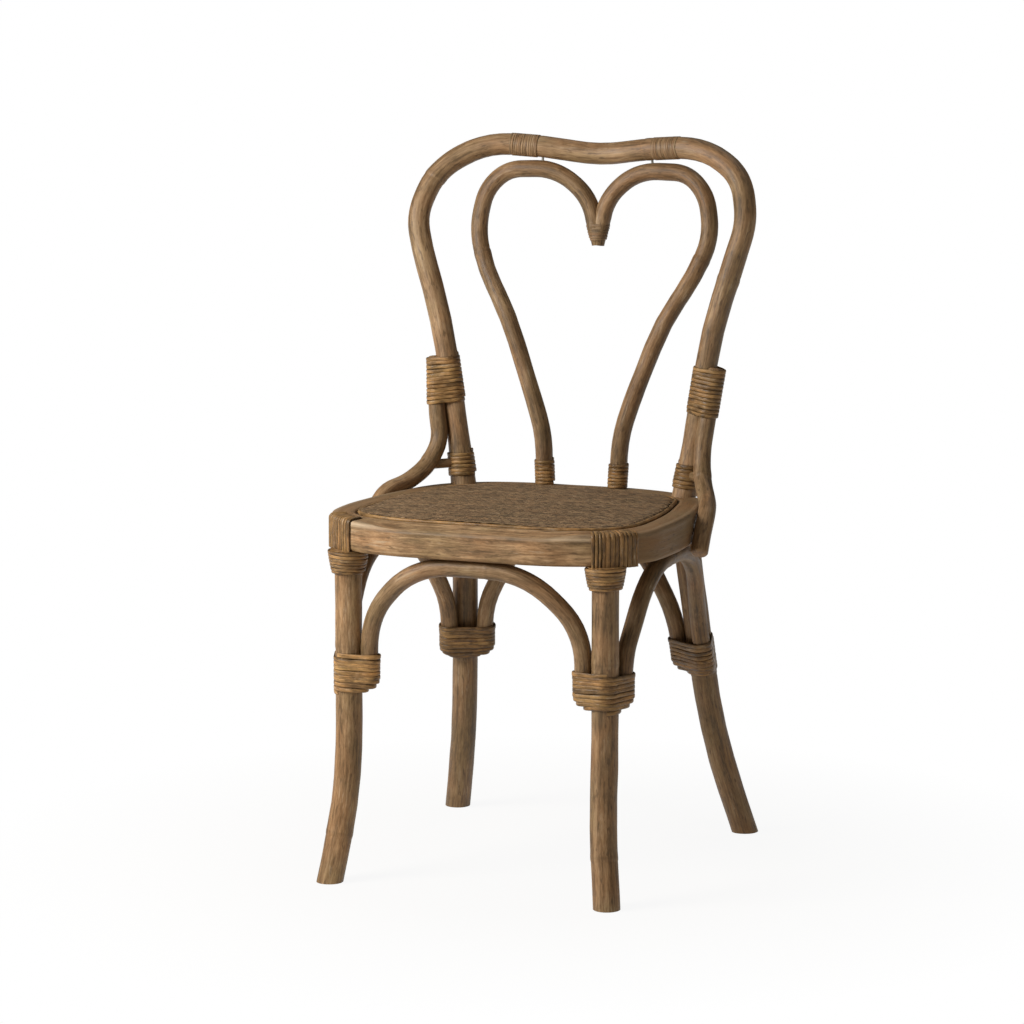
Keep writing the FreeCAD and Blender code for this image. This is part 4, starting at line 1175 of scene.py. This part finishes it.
def make_panel(settings):
    path = rim_path(settings.panel_inset)
    bars = Bars(121)
    rng = random.Random(7)
    for axis, pitch in enumerate(weave_pitches(settings)):
        low = min(place[axis] for place in path.places)
        high = max(place[axis] for place in path.places)
        first = math.ceil(low / pitch)
        last = math.floor(high / pitch)
        for index in range(first, last + 1):
            ends = crossings(path, axis, index * pitch)
            if ends and ends[1] - ends[0] > 0.05:
                add_strand(bars, settings, axis, index, ends[0], ends[1], rng)
    add_gap_shade_sheet(settings, bars, rim_path(settings.panel_inset + 0.001))
    settle(bars.piece("woven_seat_panel", materials["weave"]), "woven_cane", "seat_panel")


# Windings on the chair

def leg_bundle(settings, axis, bearings):
    gap = settings.leg_radius + settings.thin_radius + POLE_GAP
    offsets = [beside_pole(axis, bearing, gap) for bearing in bearings]
    x_way = offsets[0].normalized()
    y_way = axis[1].cross(x_way)
    circles = [(0.0, 0.0, settings.leg_radius)]
    circles += [(offset.dot(x_way), offset.dot(y_way), settings.thin_radius) for offset in offsets]
    return circles, x_way


def grown(circles, out):
    return [(x, y, radius + out) for x, y, radius in circles]


def add_leg_winding(bars, settings, axis, bearings, base_height):
    circles, x_way = leg_bundle(settings, axis, bearings)
    turns = []
    for share in (0.25, 0.72, 0.93, 1.0, 1.0, 1.0, 1.0, 1.0, 1.03):
        turns.append(circles[:1] + [(x * share, y * share, radius) for x, y, radius in circles[1:]])
    turns = [grown(turn, 0.0002) for turn in turns]
    seat = straight_seat(on_axis(axis, base_height), axis[1], x_way)
    add_winding(bars, turns, settings.leg_binding_pitch, settings.leg_binding_pitch * 1.12,
                settings.peel_thickness, seat, 84, 0.0007, 0.0002)


def make_leg_bindings(settings):
    legs = (
        ("front", pole_axis(FRONT_LEG, 0, 1), settings.side_bearing_front, settings.front_binding_height),
        ("rear", pole_axis(REAR_LEG, 1, 2), settings.side_bearing_rear, settings.rear_binding_height),
    )
    for index, (name, axis, bearing, foot) in enumerate(legs):
        for part, (side, flip) in enumerate(SIDES):
            bars = Bars(131 + index * 2 + part, flip)
            add_leg_winding(bars, settings, axis, (math.pi, bearing), foot + 0.0015)
            finish_peel(bars, name + "_leg_binding_" + side)


def add_round_winding(bars, settings, path, start, toward, radii, pitch, width=1.08, thickness=1.0,
                      count=48, wobble=0.0003):
    turns = [[(0.0, 0.0, radius + 0.0001)] for radius in radii]
    add_winding(bars, turns, pitch, pitch * width, settings.peel_thickness * thickness,
                bent_seat(path, start, toward), count, wobble)


def make_pole_bindings(settings):
    side_way = Vector((1, 0, 0))
    hoop = hoop_path()
    heart = heart_path()
    for index, (side, flip) in enumerate(SIDES):
        brace = Bars(141 + index, flip)
        toward = brace_offset(settings, BRACE_LOW).normalized()
        across = hoop_straight()[1].cross(toward)
        turns = []
        for turn in range(12):
            offset = brace_offset(settings, 0.107 + 0.005 * turn)
            turns.append([(0.0, 0.0, settings.hoop_radius + 0.0002),
                          (offset.dot(toward), offset.dot(across), settings.thin_radius + 0.0002)])
        seat = straight_seat(hoop_centre(0.1065), hoop_straight()[1], toward)
        add_winding(brace, turns, 0.00495, 0.0052, settings.peel_thickness, seat, 64, 0.00045)
        finish_peel(brace, "brace_binding_" + side)
        foot = Bars(151 + index, flip)
        run = 0.066
        radii = []
        for turn in range(6):
            share = min(1.0, (0.012 + 0.005 * turn) / run)
            thinner = (settings.hoop_radius - settings.hoop_foot_radius) * share
            radii.append(settings.hoop_foot_radius + thinner)
        add_round_winding(foot, settings, hoop, 0.0115, side_way, radii, 0.005)
        finish_peel(foot, "hoop_foot_binding_" + side)
        thin = Bars(161 + index, flip)
        add_round_winding(thin, settings, heart, 0.0022, side_way, [settings.thin_radius] * 7, 0.0044)
        finish_peel(thin, "heart_foot_binding_" + side)
        top = Bars(171 + index, flip)
        start = hoop.length / 2 - 0.080 - 0.037
        add_round_winding(top, settings, hoop, start, Vector((0, 0, 1)), [settings.hoop_radius] * 14,
                          0.0026, 1.0, 0.24)
        finish_peel(top, "hoop_top_binding_" + side, "hoop")


def lobe_at(height):
    """The right lobe's centre above the heart's point, at a height."""
    path = heart_path()
    for low, high in reversed(list(zip(path.places, path.places[1:]))):
        if high.z <= height <= low.z:
            return low.lerp(high, (low.z - height) / (low.z - high.z))
    raise ValueError("the lobe doesn't reach this height")


def make_point_binding(settings):
    """Fine strips round the pared tip, up to where both lobes part."""
    tip = chair_point(0.0, *HEART[-1][1:])
    bars = Bars(181)
    turns = []
    for turn in range(6):
        height = 0.006 + 0.0034 * (turn + 1)
        pared = pared_radius(settings, height)
        lobe = lobe_at(tip.z + height)
        radius = min(settings.thin_radius, pared) + 0.0001
        out = max(0.0, min(lobe.x, pared - radius))
        turns.append([(out, 0.0, radius), (-out, 0.0, radius)])
    seat = straight_seat(tip + Vector((0, 0, 0.0075)), Vector((0, 0, 1)), Vector((1, 0, 0)))
    add_winding(bars, turns, 0.0034, 0.0037, settings.peel_thickness * 0.25, seat, 48, 0.0006)
    finish_peel(bars, "heart_point_binding", "pole")


def collar_radius(settings, share):
    """The collar's core widens like a cup from its foot up to the rim."""
    return settings.leg_radius + 0.0006 + 0.0062 * share ** 0.6


def make_collars(settings):
    base = chair_point(FRONT_LEG[0][0], FRONT_LEG[0][1], RIM_LOW - COLLAR_DEPTH)
    for index, (side, flip) in enumerate(SIDES):
        bars = Bars(191 + index, flip)
        turns = [[(0.0, 0.0, collar_radius(settings, (turn + 0.5) / 7))] for turn in range(7)]
        seat = straight_seat(base, Vector((0, 0, 1)), Vector((1, 0, 0)))
        add_winding(bars, turns, 0.0039, 0.0043, settings.peel_thickness * 1.05, seat, 64, 0.0005)
        core = Bars(196 + index, flip)
        add_pole(core, [base, base + Vector((0, 0, 0.0274))],
                 lambda share: collar_radius(settings, share) - 0.0003, 60.0 + index)
        settle(core.piece("collar_core_" + side, materials["peel"]), "cane_pole", "leg_collar_" + side)
        finish_peel(bars, "collar_binding_" + side)


def finish_kept_nodes(settings):
    """Better materials on the solids that stay as they are."""
    kept = {
        "hidden": ["seat_frame", "front_leg_dowels", "rear_leg_dowels", "heart_dowels", "rail_dowels"],
        "steel": ["arch_screws", "frame_screws", "brace_screws", "heart_top_pins", "arch_end_pins",
                  "heart_point_pin"],
    }
    for key, names in kept.items():
        for name in names:
            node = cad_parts[name]
            node.data.materials.clear()
            node.data.materials.append(materials[key])


# Stage

def make_stage(settings):
    scene = bpy.context.scene
    scene.view_settings.view_transform = "Standard"
    floor = bmesh.new()
    bmesh.ops.create_grid(floor, x_segments=1, y_segments=1, size=14.0)
    mesh = bpy.data.meshes.new("studio_floor")
    floor.to_mesh(mesh)
    floor.free()
    mesh.materials.append(floor_material())
    piece = bpy.data.objects.new("studio_floor", mesh)
    scene.collection.objects.link(piece)
    piece.location.z = -0.0005
    light_world(settings)
    add_lamp("key_light", (-1.05, -1.15, 1.30), 0.9, settings.key_power, (1.0, 0.975, 0.94))
    add_lamp("fill_light", (2.8, -2.2, 1.6), 2.4, settings.fill_power, (1.0, 0.97, 0.93))
    add_lamp("top_light", (0.3, 1.6, 3.4), 2.0, settings.top_power, (1.0, 0.97, 0.93))
    make_camera()


def floor_material():
    """White to the camera, with a little of the chair's shadow close to its feet."""
    material, tree, shader = new_material("studio_white")
    shader.inputs["Base Color"].default_value = (0.80, 0.74, 0.65, 1.0)
    shader.inputs["Roughness"].default_value = 0.9
    glow = tree.nodes.new("ShaderNodeEmission")
    glow.inputs["Strength"].default_value = 1.0
    path = tree.nodes.new("ShaderNodeLightPath")
    seen = calculate(tree, "MAXIMUM", path.outputs["Is Camera Ray"], path.outputs["Is Glossy Ray"])
    seen = calculate(tree, "MAXIMUM", seen, path.outputs["Is Transmission Ray"])
    place = tree.nodes.new("ShaderNodeTexCoord")
    reach = tree.nodes.new("ShaderNodeVectorMath")
    reach.operation = "LENGTH"
    tree.links.new(place.outputs["Object"], reach.inputs[0])
    white = span(tree, reach.outputs["Value"], 0.30, 0.75, 0.92, 1.0)
    mixer = tree.nodes.new("ShaderNodeMixShader")
    tree.links.new(calculate(tree, "MULTIPLY", seen, white), mixer.inputs["Fac"])
    tree.links.new(shader.outputs["BSDF"], mixer.inputs[1])
    tree.links.new(glow.outputs["Emission"], mixer.inputs[2])
    output = next(node for node in tree.nodes if node.type == "OUTPUT_MATERIAL")
    tree.links.new(mixer.outputs["Shader"], output.inputs["Surface"])
    return material


def light_world(settings):
    world = bpy.data.worlds.new("studio_world")
    bpy.context.scene.world = world
    world.use_nodes = True
    tree = world.node_tree
    tree.nodes.clear()
    output = tree.nodes.new("ShaderNodeOutputWorld")
    around = tree.nodes.new("ShaderNodeBackground")
    around.inputs["Color"].default_value = (1.0, 0.945, 0.83, 1.0)
    around.inputs["Strength"].default_value = settings.world_strength
    white = tree.nodes.new("ShaderNodeBackground")
    white.inputs["Color"].default_value = (1.0, 1.0, 1.0, 1.0)
    white.inputs["Strength"].default_value = 1.0
    path = tree.nodes.new("ShaderNodeLightPath")
    seen = calculate(tree, "MAXIMUM", path.outputs["Is Camera Ray"], path.outputs["Is Transmission Ray"])
    mixer = tree.nodes.new("ShaderNodeMixShader")
    tree.links.new(seen, mixer.inputs["Fac"])
    tree.links.new(around.outputs["Background"], mixer.inputs[1])
    tree.links.new(white.outputs["Background"], mixer.inputs[2])
    tree.links.new(mixer.outputs["Shader"], output.inputs["Surface"])


def add_lamp(name, place, size, power, color):
    lamp = bpy.data.lights.new(name, "AREA")
    lamp.shape = "DISK"
    lamp.size = size
    lamp.energy = power
    lamp.color = color
    holder = bpy.data.objects.new(name, lamp)
    holder.visible_camera = False
    bpy.context.scene.collection.objects.link(holder)
    holder.location = place
    holder.rotation_mode = "QUATERNION"
    aim = Vector((0.0, 0.0, 0.45)) - Vector(place)
    holder.rotation_quaternion = aim.to_track_quat("-Z", "Y")


def make_camera():
    """The photograph's camera, as it was fitted to the chair's feet, rim and hoop."""
    azimuth, pitch = math.radians(22.29), math.radians(8.53)
    level = math.cos(pitch)
    back = Vector((math.sin(azimuth) * level, -math.cos(azimuth) * level, math.sin(pitch)))
    camera = bpy.data.cameras.new("photo_camera")
    camera.sensor_width = 36.0
    # The photograph's focal length and width in pixels
    camera.lens = camera.sensor_width * 3904.5 / 1024.0
    camera.clip_end = 60.0
    holder = bpy.data.objects.new("photo_camera", camera)
    bpy.context.scene.collection.objects.link(holder)
    holder.location = chair_point(-32.04, -0.30, 436.6) + back * 4.8857
    holder.rotation_mode = "QUATERNION"
    holder.rotation_quaternion = (-back).to_track_quat("-Z", "Y")
    bpy.context.scene.camera = holder


# The add-on

def length_setting(name, description, default):
    return bpy.props.FloatProperty(name=name, description=description, default=default, unit="LENGTH")


def angle_setting(name, description, degrees):
    return bpy.props.FloatProperty(name=name, description=description, default=math.radians(degrees),
                                   subtype="ANGLE")


def power_setting(name, description, default):
    return bpy.props.FloatProperty(name=name, description=description, default=default, unit="POWER")


def color_setting(name, description, default):
    return bpy.props.FloatVectorProperty(name=name, description=description, default=default,
                                         subtype="COLOR")


class ChairSettings(bpy.types.PropertyGroup):
    """Sizes and colours of the chair's dressing."""

    leg_radius: length_setting("Leg radius", "Radius of the four legs", 0.0165)
    hoop_radius: length_setting("Hoop radius", "Radius of the back hoop", 0.014)
    hoop_foot_radius: length_setting("Hoop foot radius", "Radius at the hoop's feet", 0.017)
    thin_radius: length_setting("Thin pole radius", "Radius of the heart, the braces and the arches", 0.011)
    peg_radius: length_setting("Peg radius", "Radius of the pegs behind the braces", 0.006)
    point_tip_radius: length_setting("Point radius", "Radius of the heart's point", 0.008)
    point_root_radius: length_setting("Point root radius", "Radius where the point's taper ends", 0.0195)
    point_taper: length_setting("Point taper", "Length of the point's taper", 0.043)
    brace_bearing: angle_setting("Brace bearing",
                                 "Side of the hoop that holds the brace, under its binding", -43.1)
    brace_top_bearing: angle_setting("Brace top bearing", "Side of the hoop that holds the brace's top",
                                     -8.2)
    side_bearing_front: angle_setting("Front bearing", "Side of the front leg that holds the side arch",
                                      57.0)
    side_bearing_rear: angle_setting("Rear bearing", "Side of the rear leg that holds the side arch", -65.0)
    rim_band: length_setting("Rim width", "Width of the rim seen from above", 0.031)
    rim_height: length_setting("Rim height", "Height of the rim", 0.040)
    rim_edge_round: length_setting("Rim edge round", "Rounding of the rim's top edge", 0.0032)
    rim_fall: length_setting("Rim fall", "How far the front rail's top falls forward", 0.0075)
    corner_fall: length_setting("Corner fall", "The same fall at the rim's corners", 0.0022)
    rim_bottom_round: length_setting("Bottom rounding", "Rounding of the rim's outer bottom edge", 0.006)
    rail_joint: angle_setting("Rail joint", "Place of the rim's joint on the corner", -38.0)
    strap_count: bpy.props.IntProperty(name="Corner straps", description="Number of straps on a corner",
                                       default=12)
    strap_start: angle_setting("Strap start", "Where the straps begin on the corner", -65.5)
    strap_step: angle_setting("Strap step", "From one strap to the next", 2.85)
    bead_inset: length_setting("Bead inset", "From the rim's outside to the bead", 0.0354)
    bead_radius: length_setting("Bead radius", "Radius of the bead round the seat", 0.0024)
    panel_inset: length_setting("Seat inset", "From the rim's outside to the woven sheet", 0.0376)
    crown: length_setting("Crown", "Rise of the seat's middle", 0.0045)
    weave_pitch: length_setting("Weave pitch", "From one woven strip to the next", 0.0048)
    weave_rise: length_setting("Weave rise", "How far a strip rises over another", 0.0005)
    peel_thickness: length_setting("Peel thickness", "Thickness of the winding strips", 0.0017)
    front_binding_height: length_setting("Front binding height", "Foot of the front legs' windings", 0.2329)
    rear_binding_height: length_setting("Rear binding height", "Foot of the rear legs' windings", 0.2189)
    leg_binding_pitch: length_setting("Binding pitch", "From one turn to the next", 0.0051)
    dark: color_setting("Dark cane", "Darkest streaks of the poles", (0.120, 0.070, 0.030))
    middle: color_setting("Middle cane", "Main colour of the poles", (0.258, 0.154, 0.074))
    light: color_setting("Light cane", "Palest streaks of the poles", (0.42, 0.27, 0.145))
    wear: color_setting("Wear", "Rubbed fibres and edges", (0.56, 0.43, 0.29))
    peel: color_setting("Peel", "Main colour of the winding strips", (0.27, 0.152, 0.058))
    weave: color_setting("Weave", "Main colour of the woven seat", (0.245, 0.156, 0.084))
    key_power: power_setting("Key light", "Power of the main lamp", 32.0)
    fill_power: power_setting("Fill light", "Power of the lamp on the right", 4.0)
    top_power: power_setting("Top light", "Power of the lamp above", 10.0)
    world_strength: bpy.props.FloatProperty(name="Surroundings", description="Light from all round",
                                            default=0.17)


class MakeStep:
    """What the operators below share."""

    bl_options = {"REGISTER", "UNDO"}

    def execute(self, context):
        self.make(context.scene.cane_chair)
        return {"FINISHED"}


class CANE_OT_materials(MakeStep, bpy.types.Operator):
    """Makes the cane, peel, weave, wood and steel materials"""

    bl_idname = "cane.materials"
    bl_label = "Materials"
    make = staticmethod(make_materials)


class CANE_OT_legs(MakeStep, bpy.types.Operator):
    """Makes the four legs"""

    bl_idname = "cane.legs"
    bl_label = "Legs"
    make = staticmethod(make_legs)


class CANE_OT_hoop(MakeStep, bpy.types.Operator):
    """Makes the back hoop"""

    bl_idname = "cane.hoop"
    bl_label = "Back Hoop"
    make = staticmethod(make_hoop)


class CANE_OT_heart(MakeStep, bpy.types.Operator):
    """Makes the heart's two lobes"""

    bl_idname = "cane.heart"
    bl_label = "Heart"
    make = staticmethod(make_heart)


class CANE_OT_braces(MakeStep, bpy.types.Operator):
    """Makes the side braces and the pegs behind them"""

    bl_idname = "cane.braces"
    bl_label = "Side Braces"
    make = staticmethod(make_braces)


class CANE_OT_arches(MakeStep, bpy.types.Operator):
    """Makes the arches under the rim"""

    bl_idname = "cane.arches"
    bl_label = "Arches"
    make = staticmethod(make_arches)


class CANE_OT_rim(MakeStep, bpy.types.Operator):
    """Makes the seat's bent rim and its front rail"""

    bl_idname = "cane.rim"
    bl_label = "Seat Rim"
    make = staticmethod(make_rim)


class CANE_OT_straps(MakeStep, bpy.types.Operator):
    """Makes the straps over the rim's front corners"""

    bl_idname = "cane.straps"
    bl_label = "Corner Straps"
    make = staticmethod(make_straps)


class CANE_OT_bead(MakeStep, bpy.types.Operator):
    """Makes the bead round the woven seat"""

    bl_idname = "cane.bead"
    bl_label = "Seat Bead"
    make = staticmethod(make_bead)


class CANE_OT_panel(MakeStep, bpy.types.Operator):
    """Weaves the seat"""

    bl_idname = "cane.panel"
    bl_label = "Woven Seat"
    make = staticmethod(make_panel)


class CANE_OT_leg_bindings(MakeStep, bpy.types.Operator):
    """Winds the legs and the arches' ends"""

    bl_idname = "cane.leg_bindings"
    bl_label = "Leg Windings"
    make = staticmethod(make_leg_bindings)


class CANE_OT_pole_bindings(MakeStep, bpy.types.Operator):
    """Winds the hoop, the braces and the heart's feet"""

    bl_idname = "cane.pole_bindings"
    bl_label = "Pole Windings"
    make = staticmethod(make_pole_bindings)


class CANE_OT_point_binding(MakeStep, bpy.types.Operator):
    """Winds the heart's point"""

    bl_idname = "cane.point_binding"
    bl_label = "Point Winding"
    make = staticmethod(make_point_binding)


class CANE_OT_collars(MakeStep, bpy.types.Operator):
    """Winds the tops of the front legs"""

    bl_idname = "cane.collars"
    bl_label = "Collars"
    make = staticmethod(make_collars)


class CANE_OT_kept(MakeStep, bpy.types.Operator):
    """Gives the kept solids their materials"""

    bl_idname = "cane.kept"
    bl_label = "Kept Solids"
    make = staticmethod(finish_kept_nodes)


class CANE_OT_stage(MakeStep, bpy.types.Operator):
    """Makes the floor, the lamps and the camera"""

    bl_idname = "cane.stage"
    bl_label = "Stage"
    make = staticmethod(make_stage)


OPERATORS = [
    CANE_OT_materials, CANE_OT_legs, CANE_OT_hoop, CANE_OT_heart, CANE_OT_braces, CANE_OT_arches,
    CANE_OT_rim, CANE_OT_straps, CANE_OT_bead, CANE_OT_panel, CANE_OT_leg_bindings,
    CANE_OT_pole_bindings, CANE_OT_point_binding, CANE_OT_collars, CANE_OT_kept, CANE_OT_stage,
]


class CANE_PT_chair(bpy.types.Panel):
    """Lists the chair's pieces in the sidebar"""

    bl_idname = "CANE_PT_chair"
    bl_label = "Cane Chair"
    bl_space_type = "VIEW_3D"
    bl_region_type = "UI"
    bl_category = "Cane Chair"

    def draw(self, context):
        settings = context.scene.cane_chair
        for name in settings.bl_rna.properties.keys():
            if name not in ("rna_type", "name"):
                self.layout.prop(settings, name)
        for operator in OPERATORS:
            self.layout.operator(operator.bl_idname)


def register():
    for cls in [ChairSettings, *OPERATORS, CANE_PT_chair]:
        bpy.utils.register_class(cls)
    bpy.types.Scene.cane_chair = bpy.props.PointerProperty(type=ChairSettings)


def unregister():
    del bpy.types.Scene.cane_chair
    for cls in reversed([ChairSettings, *OPERATORS, CANE_PT_chair]):
        bpy.utils.unregister_class(cls)


def main():
    register()
    for operator in OPERATORS:
        area, name = operator.bl_idname.split(".")
        getattr(getattr(bpy.ops, area), name)()


if __name__ == "__main__":
    main()
